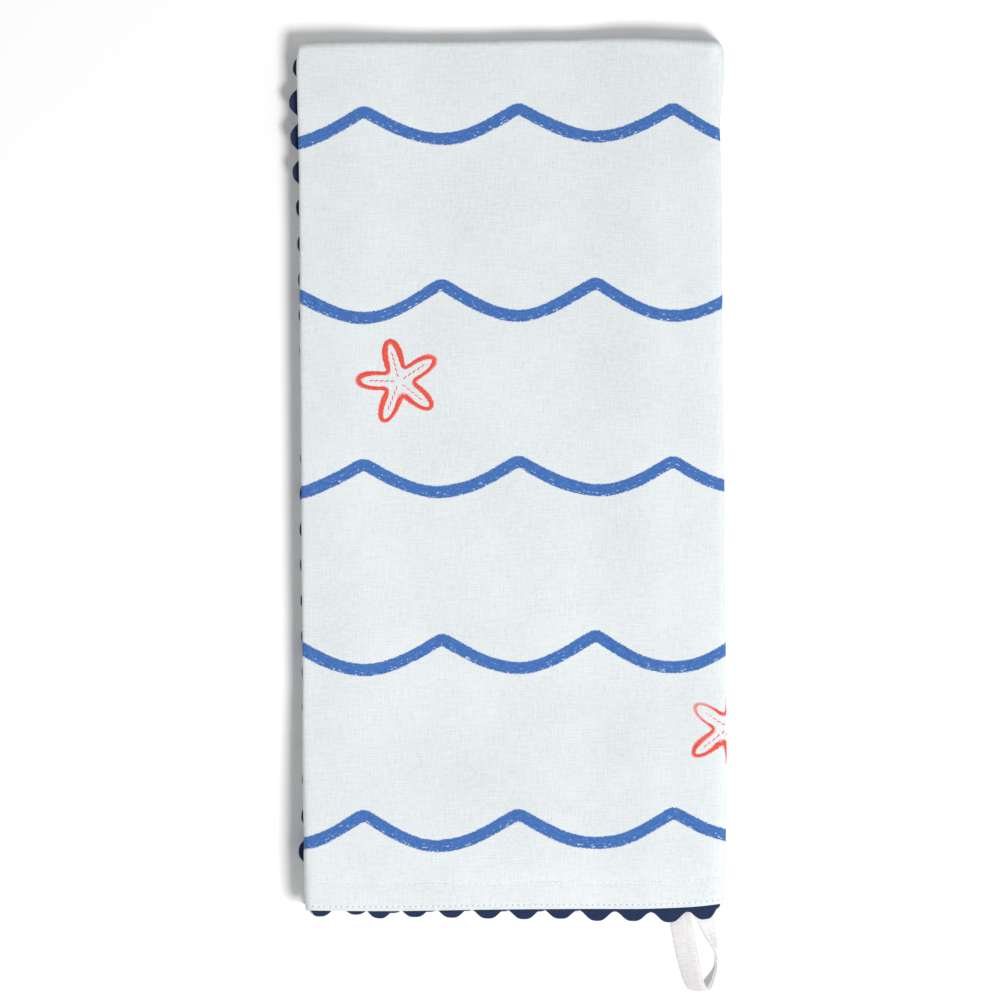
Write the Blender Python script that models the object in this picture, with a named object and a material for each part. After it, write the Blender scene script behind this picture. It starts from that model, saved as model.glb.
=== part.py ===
"""A folded tea towel with ric-rac trim and a hanging loop, as closed solids.

The cloth is one 508 x 711 mm panel with a narrow hem. It is folded in thirds
along its length and then in half over its top edge, so six layers lie on each
other:

    front half   A on top, B under it, C innermost
    rear half    C innermost, B, and A again, lying flat on the table

Panel B turns under A at the left fold and panel C turns under both at the
right fold. Every piece is laid out on that one fold: a point is given by its
place across the section (B, left fold, A, right fold, C), its place along the
cloth (front, turn, rear) and its distance from the middle of the sheet.

Sizes are in millimetres and are scaled to metres when a mesh is made. The
towel lies on z = 0 with its fold towards +Y and its hem and loop towards -Y.
"""

import math
from collections import namedtuple

import bmesh
import bpy
from mathutils import Vector

MM = 0.001

# ------------------------------------------------------------ driving sizes

CLOTH_LENGTH = 711.0
SHEET = 1.0  # thickness of the cloth
HEM_SHEET = 1.2  # thickness where the edge is turned over and sewn
HEM_DEPTH = 10.0
HEM_STEP = 1.5  # length of the step from the hem to the single cloth
TRIM = 1.0  # thickness of the ric-rac
SEAM_GAP = 0.35  # between a sewn-on piece and what it touches
LAYER_GAP = 0.5  # between two layers of plain cloth
AIR = 0.3  # how much more the layers part where they lie loosely

RUN = 349.5  # from the front hem to the start of the turn at the top
TURN = CLOTH_LENGTH - 2 * RUN  # cloth in the turn itself
PRESSED = 2.8  # 2 makes a round turn, and more a squarer one, as if pressed

# The stack is thicker over the hems and trims. Each zone is full from one
# place and fades out at another.
END_FULL, END_NONE = -163.5, -84.0  # y, above the hemmed ends
LEFT_FULL, LEFT_NONE = -70.5, -34.0  # x, over the free edge of C
RIGHT_FULL, RIGHT_NONE = 61.5, 26.0  # x, over the free edge of B
LOOP_FULL, LOOP_NONE = 60.0, 34.0  # x, over the sewn ends of the loop

# Where the folds lie at each length of cloth from the front hem.
FoldLine = namedtuple("FoldLine", "run left right")
FOLD_LINES = [
    FoldLine(-8.0, -84.1, 86.1),
    FoldLine(0.0, -84.8, 86.7),
    FoldLine(10.0, -85.6, 87.3),
    FoldLine(20.0, -85.9, 87.6),
    FoldLine(40.0, -86.1, 87.8),
    FoldLine(90.0, -86.3, 87.5),
    FoldLine(165.0, -86.7, 87.0),
    FoldLine(248.0, -87.3, 86.3),
    FoldLine(300.0, -87.7, 85.9),
    FoldLine(322.0, -88.2, 85.0),
    FoldLine(341.0, -88.7, 84.2),
    FoldLine(RUN, -88.6, 84.0),
    FoldLine(RUN + TURN / 2, -87.2, 85.6),
    FoldLine(RUN + TURN, -87.9, 87.0),
    FoldLine(378.0, -87.8, 86.2),
    FoldLine(396.0, -87.4, 84.7),
    FoldLine(460.0, -86.6, 85.2),
    FoldLine(620.0, -85.7, 86.4),
    FoldLine(695.0, -85.2, 86.7),
    FoldLine(CLOTH_LENGTH, -84.5, 85.9),
    FoldLine(CLOTH_LENGTH + 8.0, -84.2, 85.6),
]

# The hemmed end of the front panel and of the rear one, and the top fold.
EdgePoint = namedtuple("EdgePoint", "x front rear top")
EDGE_POINTS = [
    EdgePoint(-90.0, -178.2, -176.6, 176.6),
    EdgePoint(-80.0, -178.6, -176.7, 177.2),
    EdgePoint(-50.0, -178.8, -176.6, 177.5),
    EdgePoint(-10.0, -178.2, -176.2, 177.8),
    EdgePoint(30.0, -177.9, -175.8, 178.7),
    EdgePoint(52.0, -177.9, -175.7, 179.2),
    EdgePoint(65.0, -177.5, -175.6, 178.8),
    EdgePoint(76.0, -176.9, -175.5, 178.2),
    EdgePoint(84.0, -175.9, -175.2, 177.7),
    EdgePoint(90.0, -174.6, -174.8, 177.2),
]
B_SKEW = 0.014  # rise of B's hem for each millimetre from the left fold
C_SKEW = -0.006  # and of C's hem from the right fold

# Free edge of B, measured from the right fold.
B_SHORT = 11.5
# How far the trim on C's free edge reaches past the left fold.
SideReach = namedtuple("SideReach", "run reach")
SIDE_REACH = [
    SideReach(0.0, 0.8),
    SideReach(22.0, 1.8),
    SideReach(40.0, 0.4),
    SideReach(90.0, 0.1),
    SideReach(157.0, 0.7),
    SideReach(200.0, 0.0),
    SideReach(240.0, 0.4),
    SideReach(285.0, 1.1),
    SideReach(303.0, 2.5),
    SideReach(318.0, 3.0),
    SideReach(332.0, 3.1),
    SideReach(346.0, 1.3),
    SideReach(RUN + TURN / 2, -0.2),
    SideReach(372.0, -1.5),
    SideReach(CLOTH_LENGTH, -1.5),
]

# Ric-rac: a wavy braid. Its edge rises to a broad hump and falls to a narrow
# valley, and the other edge does the same half a wave on.
END_PITCH = 14.9
SIDE_PITCH = 14.7
HUMP, VALLEY = 6.0, 2.1  # from the middle of the braid
FULLNESS = 1.6  # more makes broader humps
STEPS_A_WAVE = 5
END_HUMP_AT = {"front": 4.7, "rear": 10.6}  # x of one hump on each hem
SIDE_HUMP_AT = 331.7  # length of cloth at one hump on the side edges
SIDE_INSET = 2.0  # middle of the braid inside the cloth's free edge
# The middle of the braid inside the hem of the outer panels. It is sewn on a
# little askew: the front one draws back at the left corner, where the rear one
# shows past it, and comes out further towards the right.
TrimInset = namedtuple("TrimInset", "x front rear")
TRIM_INSETS = [
    TrimInset(-95.0, 6.0, 1.6),
    TrimInset(-79.0, 6.9, 1.6),
    TrimInset(-70.0, 6.9, 2.1),
    TrimInset(-56.0, 3.1, 2.7),
    TrimInset(-40.0, 3.4, 3.2),
    TrimInset(-18.0, 2.6, 3.5),
    TrimInset(5.0, 1.9, 3.0),
    TrimInset(20.0, 2.0, 3.0),
    TrimInset(34.0, 1.1, 3.0),
    TrimInset(50.0, 1.0, 3.0),
    TrimInset(65.0, 0.1, 3.0),
    TrimInset(79.0, 0.4, 3.0),
    TrimInset(95.0, 0.8, 3.0),
]
HIDDEN_INSET = 6.0  # on the panels underneath, away from the folds
INSET_SHIFT = 18.0  # length past the outer panel in which it changes to that
SIDE_START = 13.0  # the side trims stop short of the end trims

# Hanging loop: a folded tape seen from its two rims. It leaves the hem flat,
# turns at the bottom and comes back standing on its edge.
LOOP_WIDTH = 9.5
LOOP_SEWN = 1.0  # thickness of the tape where it is pressed into the seam
LOOP_SLACK = 0.26  # room for its bend as it leaves the seam
LOOP_FREE = 1.7
LOOP_ROUND = 0.5  # how far its rims are rounded off
SEAM_Z = 15.29
LoopRow = namedtuple("LoopRow", "low_x low_y low_z high_x high_y high_z")
LOOP_ROWS = [
    LoopRow(62.2, -171.4, SEAM_Z, 71.6, -170.4, SEAM_Z),
    LoopRow(62.6, -177.5, SEAM_Z, 72.0, -176.3, SEAM_Z),
    LoopRow(64.3, -183.7, 14.5, 73.6, -182.1, 14.8),
    LoopRow(66.2, -193.5, 11.6, 75.5, -192.2, 13.0),
    LoopRow(68.3, -201.9, 8.4, 77.0, -201.3, 11.4),
    LoopRow(70.3, -208.0, 5.4, 78.5, -208.2, 9.8),
    LoopRow(72.2, -210.6, 2.6, 80.2, -211.0, 8.0),
    LoopRow(75.4, -210.2, 1.0, 81.9, -210.0, 7.9),
    LoopRow(80.0, -206.6, 0.9, 83.2, -206.0, 9.7),
    LoopRow(83.4, -201.3, 0.9, 83.9, -200.9, 10.4),
    LoopRow(84.6, -195.6, 1.5, 83.0, -195.6, 10.9),
    LoopRow(83.5, -189.8, 3.6, 79.1, -189.4, 12.0),
    LoopRow(82.6, -184.7, 6.9, 76.3, -184.1, 13.7),
    LoopRow(82.6, -181.0, 12.7, 73.9, -180.2, 15.0),
    LoopRow(81.6, -176.0, SEAM_Z, 72.3, -175.6, SEAM_Z),
    LoopRow(81.5, -171.3, SEAM_Z, 72.2, -171.0, SEAM_Z),
]
LOOP_STEPS = 3  # rings from one row to the next

# Where the cloth's mesh is divided: across the fold, in millimetres from a
# free edge and from a fold and as shares of a panel, and along the cloth, in
# millimetres from a hemmed end. The steps are close where the stack rises.
EDGE_STEPS = (0.0, HEM_DEPTH, HEM_DEPTH + HEM_STEP, 21.0, 33.0, 46.0)
FOLD_STEPS = (3.0, 11.0, 20.0, 32.0, 48.0)
MIDDLE_SHARE = 0.47
TOP_SHARES = (0.04, 0.12, 0.2, 0.29, 0.4, 0.52, 0.64, 0.71, 0.77, 0.82, 0.87, 0.93)
HEM_STEPS = (0.0, HEM_DEPTH, HEM_DEPTH + HEM_STEP, 16.0)
RAMP_STEPS = (26.0, 37.0, 49.0, 61.0, 74.0, 87.0, 105.0)
PLAIN_STEPS = (150.0, 200.0, 250.0, 290.0, 320.0, 338.0, RUN)
RUN_STEPS = HEM_STEPS + RAMP_STEPS + PLAIN_STEPS
TURN_STEPS = 8
FOLD_ARC_STEPS = 5

WHITE_CLOTH = (0.84, 0.87, 0.88, 1.0)
NAVY_BRAID = (0.012, 0.027, 0.09, 1.0)
WHITE_TAPE = (0.83, 0.82, 0.79, 1.0)


# ------------------------------------------------------------ small helpers


def ease(none, full, at):
    """0 up to none, 1 from full, and a smooth rise between them."""
    t = min(max((at - none) / (full - none), 0.0), 1.0)
    return t * t * (3 - 2 * t)


def read(table, column, at):
    """A column of a table at a place between its rows, as a smooth curve."""
    rows = [(row[0], getattr(row, column)) for row in table]
    if at <= rows[0][0]:
        return rows[0][1]
    if at >= rows[-1][0]:
        return rows[-1][1]
    k = next(i for i in range(1, len(rows)) if at <= rows[i][0])

    def slope(i):
        a, b = rows[max(i - 1, 0)], rows[min(i + 1, len(rows) - 1)]
        return (b[1] - a[1]) / (b[0] - a[0])

    (x0, y0), (x1, y1) = rows[k - 1], rows[k]
    width = x1 - x0
    t = (at - x0) / width
    return (
        y0 * (2 * t**3 - 3 * t**2 + 1)
        + slope(k - 1) * width * (t**3 - 2 * t**2 + t)
        + y1 * (3 * t**2 - 2 * t**3)
        + slope(k) * width * (t**3 - t**2)
    )


def either(a, b):
    """Two zones joined: full where either is full."""
    return a + b - a * b


# ------------------------------------------------------------ the folded stack


def levels(x, y, front):
    """Heights of the middles of C, B and A above the middle of the stack."""
    end = ease(END_NONE, END_FULL, y)
    over_c = either(end, ease(LEFT_NONE, LEFT_FULL, x))
    over_b = either(end, ease(RIGHT_NONE, RIGHT_FULL, x))
    loose = AIR * (1 - end)
    hem = HEM_SHEET - SHEET
    trim_gap = 2 * SEAM_GAP + TRIM - LAYER_GAP
    second_trim = SEAM_GAP + TRIM
    loop = end * ease(LOOP_NONE, LOOP_FULL, x) if front else 0.0
    c = LAYER_GAP / 2 + loose * (0.5 + 0.5 * math.sin(x / 31 + y / 57)) / 2
    c += (SHEET + hem * over_c) / 2
    b = c + (SHEET + hem * over_c) / 2 + (SHEET + hem * over_b) / 2
    b += LAYER_GAP + trim_gap * over_c + loose * (0.5 + 0.5 * math.sin(x / 43 - y / 71 + 1))
    a = b + (SHEET + hem * over_b) / 2 + (SHEET + hem * end) / 2
    a += LAYER_GAP + trim_gap * over_b + second_trim * end
    a += (SEAM_GAP + LOOP_SEWN + LOOP_SLACK) * loop + loose * (0.5 + 0.5 * math.sin(x / 37 + y / 49 + 4))
    return {"C": c, "B": b, "A": a}


def half_height(x, y):
    """Height of the middle of the stack: what the rear half takes up."""
    end = ease(END_NONE, END_FULL, y)
    return levels(x, y, front=False)["A"] + (SHEET + (HEM_SHEET - SHEET) * end) / 2


def cloth_run(half, at):
    """Length of cloth from the front hem, at a place along the cloth."""
    if half == "front":
        return at
    if half == "turn":
        return RUN + TURN * at / math.pi
    return CLOTH_LENGTH - at


def pivot_y(x):
    """The line that the stack turns about at its top."""
    top = read(EDGE_POINTS, "top", x)
    return top - half_height(x, top)


def turn_reach(at):
    """How much further than a round turn the pressed one reaches."""
    return (abs(math.cos(at)) ** PRESSED + math.sin(at) ** PRESSED) ** (-1 / PRESSED)


def hem_y(half, panel, x, left, right):
    """The hemmed end of a panel, from its end at a fold."""
    if panel == "B":
        return read(EDGE_POINTS, half, left) + B_SKEW * (x - left)
    if panel == "C":
        return read(EDGE_POINTS, half, right) + C_SKEW * (right - x)
    return read(EDGE_POINTS, half, x)


def run_y(half, panel, at, x, left, right):
    if half == "turn":
        return pivot_y(x)
    hem = hem_y(half, panel, x, left, right)
    return hem + (pivot_y(x) - hem) * at / RUN


def section(half, at):
    """The places across the fold: the two fold arcs and the free edges."""
    run = cloth_run(half, at)
    left, right = read(FOLD_LINES, "left", run), read(FOLD_LINES, "right", run)
    front = half != "rear"
    near_left = levels(left, run_y(half, "A", at, left, left, right), front)
    near_right = levels(right, run_y(half, "A", at, right, left, right), front)
    left_radius = (near_left["A"] - near_left["B"]) / 2
    right_radius = (near_right["A"] - near_right["C"]) / 2
    return {
        "left": left,
        "right": right,
        "left_radius": left_radius,
        "right_radius": right_radius,
        "left_centre": left + HEM_SHEET / 2 + left_radius,
        "right_centre": right - HEM_SHEET / 2 - right_radius,
        "b_edge": right - B_SHORT,
        "c_edge": left - read(SIDE_REACH, "reach", run) + HUMP - SIDE_INSET,
    }


def place(across, along, out):
    """A point of the folded towel, out from the middle of its sheet.

    across is a panel's letter with an x, or a fold with an angle in radians;
    along is front or rear with a distance from the hem, or turn with an angle.
    """
    panel, value = across
    half, at = along
    s = section(half, at)
    front = half != "rear"
    if panel in "ABC":
        x = value
        y = run_y(half, panel, at, x, s["left_centre"], s["right_centre"])
        level = levels(x, y, front)[panel] + (out if panel == "A" else -out)
    else:
        side, other, way = ("left", "B", -1) if panel == "left" else ("right", "C", 1)
        fold_y = run_y(half, "A", at, s[side], s["left"], s["right"])
        near = levels(s[side], fold_y, front)
        radius = s[side + "_radius"] + out
        x = s[side + "_centre"] + way * radius * math.sin(value)
        y = run_y(half, "A", at, x, s["left"], s["right"])
        level = (near["A"] + near[other]) / 2 + way * radius * math.cos(value)
    middle = half_height(x, y)
    if half == "turn":
        level *= turn_reach(at)
        return (x, y + level * math.sin(at), middle + level * math.cos(at))
    return (x, y, middle + level if front else middle - level)


# ------------------------------------------------------------ meshes


def new_piece(name, rings, material):
    """A closed solid from rings of points, with a cap on its first and last."""
    bm = bmesh.new()
    rows = [[bm.verts.new(Vector(p) * MM) for p in ring] for ring in rings]
    count = len(rows[0])
    for low, high in zip(rows, rows[1:]):
        for i in range(count):
            j = (i + 1) % count
            bm.faces.new((low[i], low[j], high[j], high[i]))
    for cap in (rows[0], rows[-1]):
        for i in range(count // 2 - 1):
            bm.faces.new((cap[i], cap[i + 1], cap[count - 2 - i], cap[count - 1 - i]))
    bmesh.ops.recalc_face_normals(bm, faces=bm.faces)
    bmesh.ops.triangulate(bm, faces=bm.faces, quad_method="SHORT_EDGE")
    mesh = bpy.data.meshes.new(name)
    bm.to_mesh(mesh)
    bm.free()
    mesh.materials.append(material)
    piece = bpy.data.objects.new(name, mesh)
    bpy.context.scene.collection.objects.link(piece)
    return piece


def new_material(name, colour, roughness):
    material = bpy.data.materials.new(name)
    material.use_nodes = True
    shader = material.node_tree.nodes["Principled BSDF"]
    shader.inputs["Base Color"].default_value = colour
    shader.inputs["Roughness"].default_value = roughness
    shader.inputs["Metallic"].default_value = 0.0
    return material


# ------------------------------------------------------------ the cloth


def across_stations(half, at):
    """Where the section is divided, with the distance from a free edge."""
    s = section(half, at)
    left, right = s["left_centre"], s["right_centre"]
    far = HEM_DEPTH + HEM_STEP
    b_run, c_run = s["b_edge"] - left, right - s["c_edge"]
    arc = [math.pi * i / FOLD_ARC_STEPS for i in range(FOLD_ARC_STEPS + 1)]
    stations = [(("B", s["b_edge"] - step), step) for step in EDGE_STEPS]
    stations.append((("B", s["b_edge"] - MIDDLE_SHARE * b_run), far))
    stations += [(("B", left + step), far) for step in reversed(FOLD_STEPS)]
    stations += [(("left", angle), far) for angle in arc]
    stations += [(("A", left + share * (right - left)), far) for share in TOP_SHARES]
    stations += [(("right", angle), far) for angle in arc]
    stations += [(("C", right - step), far) for step in FOLD_STEPS]
    stations.append((("C", s["c_edge"] + MIDDLE_SHARE * c_run), far))
    stations += [(("C", s["c_edge"] + step), step) for step in reversed(EDGE_STEPS)]
    return stations


def sheet_thickness(from_end, from_side):
    nearest = min(from_end, from_side)
    return SHEET + (HEM_SHEET - SHEET) * (1 - ease(HEM_DEPTH, HEM_DEPTH + HEM_STEP, nearest))


def along_stations():
    front = [("front", step) for step in RUN_STEPS]
    turn = [("turn", math.pi * i / TURN_STEPS) for i in range(1, TURN_STEPS)]
    rear = [("rear", step) for step in reversed(RUN_STEPS)]
    return front + turn + rear


def towel_cloth(material):
    rings = []
    for half, at in along_stations():
        from_end = RUN if half == "turn" else at
        outer, inner = [], []
        for across, from_side in across_stations(half, at):
            thick = sheet_thickness(from_end, from_side)
            outer.append(place(across, (half, at), thick / 2))
            inner.append(place(across, (half, at), -thick / 2))
        rings.append(outer + inner[::-1])
    return new_piece("towel_cloth", rings, material)


# ------------------------------------------------------------ the ric-rac


def braid_edge(phase):
    """How far the braid's edge lies from its middle: a hump at phase 0."""
    return HUMP - (HUMP - VALLEY) * (math.sin(math.pi * phase) ** 2) ** FULLNESS


def braid_ring(point_at, phase, inset):
    """Four corners of the braid at one place along it."""
    under = -(HEM_SHEET / 2 + SEAM_GAP)
    beyond = inset - braid_edge(phase)
    inside = inset + braid_edge(phase + 0.5)
    return [
        point_at(beyond, under),
        point_at(inside, under),
        point_at(inside, under - TRIM),
        point_at(beyond, under - TRIM),
    ]


def end_stations(half):
    """Places across the fold at the hem, with the distance round the cloth."""
    hump_at = END_HUMP_AT[half]
    s = section(half, 0.0)
    left, right = s["left_centre"], s["right_centre"]
    left_arc = math.pi * s["left_radius"]
    right_arc = math.pi * s["right_radius"]
    step = END_PITCH / STEPS_A_WAVE
    first = left - left_arc - (s["b_edge"] - left)
    last = right + right_arc + (right - s["c_edge"])
    margin = step / 2
    marks = []
    k = math.ceil((first - hump_at) / step)
    while hump_at + k * step < last:
        marks.append(hump_at + k * step)
        k += 1
    stations = [(("B", s["b_edge"]), first)]
    for u in marks:
        if first + margin < u < left - left_arc - margin:
            stations.append((("B", left + (left - left_arc - u)), u))
    arc = [math.pi * i / FOLD_ARC_STEPS for i in range(FOLD_ARC_STEPS + 1)]
    stations += [(("left", t), left - left_arc + s["left_radius"] * t) for t in arc]
    stations += [(("A", u), u) for u in marks if left + margin < u < right - margin]
    stations += [(("right", t), right + s["right_radius"] * t) for t in arc]
    for u in marks:
        if right + right_arc + margin < u < last - margin:
            stations.append((("C", right - (u - right - right_arc)), u))
    stations.append((("C", s["c_edge"]), last))
    return stations


def end_inset(half, across):
    """How far the middle of an end trim lies inside the hem."""
    s = section(half, 0.0)
    panel, value = across
    if panel == "A":
        return read(TRIM_INSETS, half, value)
    side = "left" if panel in ("left", "B") else "right"
    radius, centre = s[side + "_radius"], s[side + "_centre"]
    if panel == side:
        past_fold = radius * (math.pi - value if side == "left" else value)
    else:
        past_fold = radius * math.pi + abs(value - centre)
    at_fold = read(TRIM_INSETS, half, centre)
    return at_fold + (HIDDEN_INSET - at_fold) * ease(0.0, INSET_SHIFT, past_fold)


def end_trim(name, half, material):
    """Ric-rac sewn behind the hem of a short end, from free edge to free edge."""
    rings = []
    for across, u in end_stations(half):
        inset = end_inset(half, across)
        phase = (u - END_HUMP_AT[half]) / END_PITCH
        rings.append(
            braid_ring(lambda d, out: place(across, (half, d), out), phase, inset)
        )
    return new_piece(name, rings, material)


def side_stations():
    """Places along the cloth's free edges, with the length of cloth there."""
    step = SIDE_PITCH / STEPS_A_WAVE
    last = CLOTH_LENGTH - SIDE_START
    runs = [SIDE_START]
    k = math.ceil((SIDE_START + step / 2 - SIDE_HUMP_AT) / step)
    while SIDE_HUMP_AT + k * step < last - step / 2:
        runs.append(SIDE_HUMP_AT + k * step)
        k += 1
    runs.append(last)
    margin = step / 2
    front = [(("front", u), u) for u in runs if u < RUN - margin]
    turn = [
        (("turn", math.pi * i / TURN_STEPS), RUN + TURN * i / TURN_STEPS)
        for i in range(TURN_STEPS + 1)
    ]
    rear = [(("rear", CLOTH_LENGTH - u), u) for u in runs if u > RUN + TURN + margin]
    return front + turn + rear


def side_trim(name, panel, material):
    """Ric-rac along a long edge, sewn on the wrong side of its hem."""
    rings = []
    for along, u in side_stations():
        s = section(*along)
        edge, way = (s["b_edge"], -1) if panel == "B" else (s["c_edge"], 1)
        phase = (u - SIDE_HUMP_AT) / SIDE_PITCH
        rings.append(
            braid_ring(
                lambda d, out: place((panel, edge + way * d), along, out), phase, SIDE_INSET
            )
        )
    return new_piece(name, rings, material)


# ------------------------------------------------------------ the loop


def curve_through(points, steps):
    """A smooth curve through points, with steps places from each to the next."""
    curve = []
    for k in range(len(points) - 1):
        p0, p1 = points[max(k - 1, 0)], points[k]
        p2, p3 = points[k + 1], points[min(k + 2, len(points) - 1)]
        for i in range(steps):
            t = i / steps
            curve.append(
                0.5
                * (
                    2 * p1
                    + (p2 - p0) * t
                    + (2 * p0 - 5 * p1 + 4 * p2 - p3) * t**2
                    + (3 * p1 - p0 - 3 * p2 + p3) * t**3
                )
            )
    curve.append(points[-1])
    return curve


def hanging_loop(material):
    """The tape, ring by ring, kept to its own width."""
    low = curve_through([Vector((r.low_x, r.low_y, r.low_z)) for r in LOOP_ROWS], LOOP_STEPS)
    high = curve_through([Vector((r.high_x, r.high_y, r.high_z)) for r in LOOP_ROWS], LOOP_STEPS)
    middle = [(a + b) / 2 for a, b in zip(low, high)]
    rings = []
    for k, centre in enumerate(middle):
        ahead = middle[min(k + 1, len(middle) - 1)] - middle[max(k - 1, 0)]
        wide = (high[k] - low[k]).normalized()
        flat = ahead.cross(wide).normalized()
        ends = min(k, len(middle) - 1 - k) / LOOP_STEPS
        thick = LOOP_SEWN + (LOOP_FREE - LOOP_SEWN) * ease(1.2, 3.0, ends)
        rim = wide * (LOOP_WIDTH / 2)
        face = wide * (LOOP_WIDTH / 2 - LOOP_ROUND)
        up = flat * (thick / 2)
        rings.append(
            [
                centre - face + up,
                centre + face + up,
                centre + rim,
                centre + face - up,
                centre - face - up,
                centre - rim,
            ]
        )
    return new_piece("hanging_loop", rings, material)


# ------------------------------------------------------------ assembly


def clear_scene():
    for old in list(bpy.data.objects):
        bpy.data.objects.remove(old, do_unlink=True)


def main():
    clear_scene()
    cloth = new_material("printed_cloth", WHITE_CLOTH, 0.9)
    braid = new_material("navy_braid", NAVY_BRAID, 0.8)
    tape = new_material("white_tape", WHITE_TAPE, 0.85)
    towel_cloth(cloth)
    end_trim("ricrac_front_end", "front", braid)
    end_trim("ricrac_rear_end", "rear", braid)
    side_trim("ricrac_inner_side", "B", braid)
    side_trim("ricrac_outer_side", "C", braid)
    hanging_loop(tape)


main()
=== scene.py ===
# %% [markdown]
# # A folded tea towel, step by step
#
# The towel is one hemmed cloth with wavy ric-rac braid sewn behind its edges
# and a tape loop at one corner. It is folded in thirds and then in half and
# lies flat. The solids of the part give the places. This lesson dresses them:
# a thin woven sheet on the same folds, braid with its cords, stitches, an
# embroidered motif, and materials made of nodes only.

# %% Load the frame
import math
from collections import namedtuple

import bmesh
import bpy
import numpy as np
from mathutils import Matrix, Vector


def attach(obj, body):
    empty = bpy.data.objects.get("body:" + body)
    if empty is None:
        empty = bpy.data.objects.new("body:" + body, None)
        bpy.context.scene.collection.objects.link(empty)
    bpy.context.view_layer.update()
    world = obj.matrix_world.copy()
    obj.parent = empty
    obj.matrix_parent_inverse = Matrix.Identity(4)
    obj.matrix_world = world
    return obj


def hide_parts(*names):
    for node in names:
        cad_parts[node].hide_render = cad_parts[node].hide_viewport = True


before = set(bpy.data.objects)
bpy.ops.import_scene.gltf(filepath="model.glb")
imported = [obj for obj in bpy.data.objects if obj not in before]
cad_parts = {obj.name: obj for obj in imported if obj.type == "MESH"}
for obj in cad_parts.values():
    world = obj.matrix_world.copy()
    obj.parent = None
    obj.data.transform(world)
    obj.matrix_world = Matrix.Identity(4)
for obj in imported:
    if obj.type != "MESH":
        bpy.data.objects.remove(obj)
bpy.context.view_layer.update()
MM = 0.001
print("solids:", sorted(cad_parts))

# %% [markdown]
# ## The fold
#
# Every piece lies on one fold, so the fold comes first. A place on the towel
# has three numbers: where it is across the section (panel B underneath, the
# left fold, panel A on top, the right fold, panel C innermost), where it is
# along the cloth (front half, turn at the top, rear half), and how far it is
# from the middle of the sheet. The sizes are those that the solids were made
# with, in millimetres. The functions take whole arrays, because the fine
# meshes have tens of thousands of points.

# %% Sizes of the cloth and its fold
CLOTH_WIDTH, CLOTH_LENGTH = 508.0, 711.0
SHEET, HEM_SHEET, TRIM = 1.0, 1.2, 1.0  # thicknesses of the solids
SEAM_GAP, LAYER_GAP, AIR = 0.35, 0.5, 0.3
LOOP_SEWN, LOOP_SLACK = 1.0, 0.26
RUN = 349.5
TURN = CLOTH_LENGTH - 2 * RUN
PRESSED = 7.0  # squareness of the turn at the top; pressed harder than the solid
END_FULL, END_NONE = -163.5, -84.0
LEFT_FULL, LEFT_NONE = -70.5, -34.0
RIGHT_FULL, RIGHT_NONE = 61.5, 26.0
LOOP_FULL, LOOP_NONE = 60.0, 34.0
B_SKEW, C_SKEW, B_SHORT = 0.014, -0.006, 11.5
BRAID_PAST_EDGE = 4.0  # how far a side braid stands past the cloth's edge
MIDDLE_U = 251.5  # distance from B's free edge to x = 0 of the top panel

print("flat cloth: %.0f x %.0f mm" % (CLOTH_WIDTH, CLOTH_LENGTH))

# %% Tables of the fold lines and the edges
FoldLine = namedtuple("FoldLine", "run left right")
FOLD_LINES = [FoldLine(*row) for row in (
    (-8.0, -84.1, 86.1),
    (0.0, -84.8, 86.7),
    (10.0, -85.6, 87.3),
    (20.0, -85.9, 87.6),
    (40.0, -86.1, 87.8),
    (90.0, -86.3, 87.5),
    (165.0, -86.7, 87.0),
    (248.0, -87.3, 86.3),
    (300.0, -87.7, 85.9),
    (322.0, -88.2, 85.0),
    (341.0, -88.7, 84.2),
    (RUN, -88.6, 84.0),
    (RUN + TURN / 2, -87.2, 85.6),
    (RUN + TURN, -87.9, 87.0),
    (378.0, -87.8, 86.2),
    (396.0, -87.4, 84.7),
    (460.0, -86.6, 85.2),
    (620.0, -85.7, 86.4),
    (695.0, -85.2, 86.7),
    (CLOTH_LENGTH, -84.5, 85.9),
    (CLOTH_LENGTH + 8.0, -84.2, 85.6),
)]
EdgePoint = namedtuple("EdgePoint", "x front rear top")
EDGE_POINTS = [EdgePoint(*row) for row in (
    (-90.0, -178.2, -176.6, 176.6),
    (-80.0, -178.6, -176.7, 177.2),
    (-50.0, -178.8, -176.6, 177.5),
    (-10.0, -178.2, -176.2, 177.8),
    (30.0, -177.9, -175.8, 178.7),
    (52.0, -177.9, -175.7, 179.2),
    (65.0, -177.5, -175.6, 178.8),
    (76.0, -176.9, -175.5, 178.2),
    (84.0, -175.9, -175.2, 177.7),
    (90.0, -174.6, -174.8, 177.2),
)]
SideReach = namedtuple("SideReach", "run reach")
SIDE_REACH = [SideReach(*row) for row in (
    (0.0, 0.8),
    (22.0, 1.8),
    (40.0, 0.4),
    (90.0, 0.1),
    (157.0, 0.7),
    (200.0, 0.0),
    (240.0, 0.4),
    (285.0, 1.1),
    (303.0, 2.5),
    (318.0, 3.0),
    (332.0, 3.1),
    (346.0, 1.3),
    (RUN + TURN / 2, -0.2),
    (372.0, -1.5),
    (CLOTH_LENGTH, -1.5),
)]
print("rows of the tables:", len(FOLD_LINES), len(EDGE_POINTS), len(SIDE_REACH))


# %% Reading a table as a smooth curve
def ease(none, full, at):
    """0 up to none, 1 from full, and a smooth rise between them."""
    t = np.clip((np.asarray(at, float) - none) / (full - none), 0.0, 1.0)
    return t * t * (3 - 2 * t)


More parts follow.
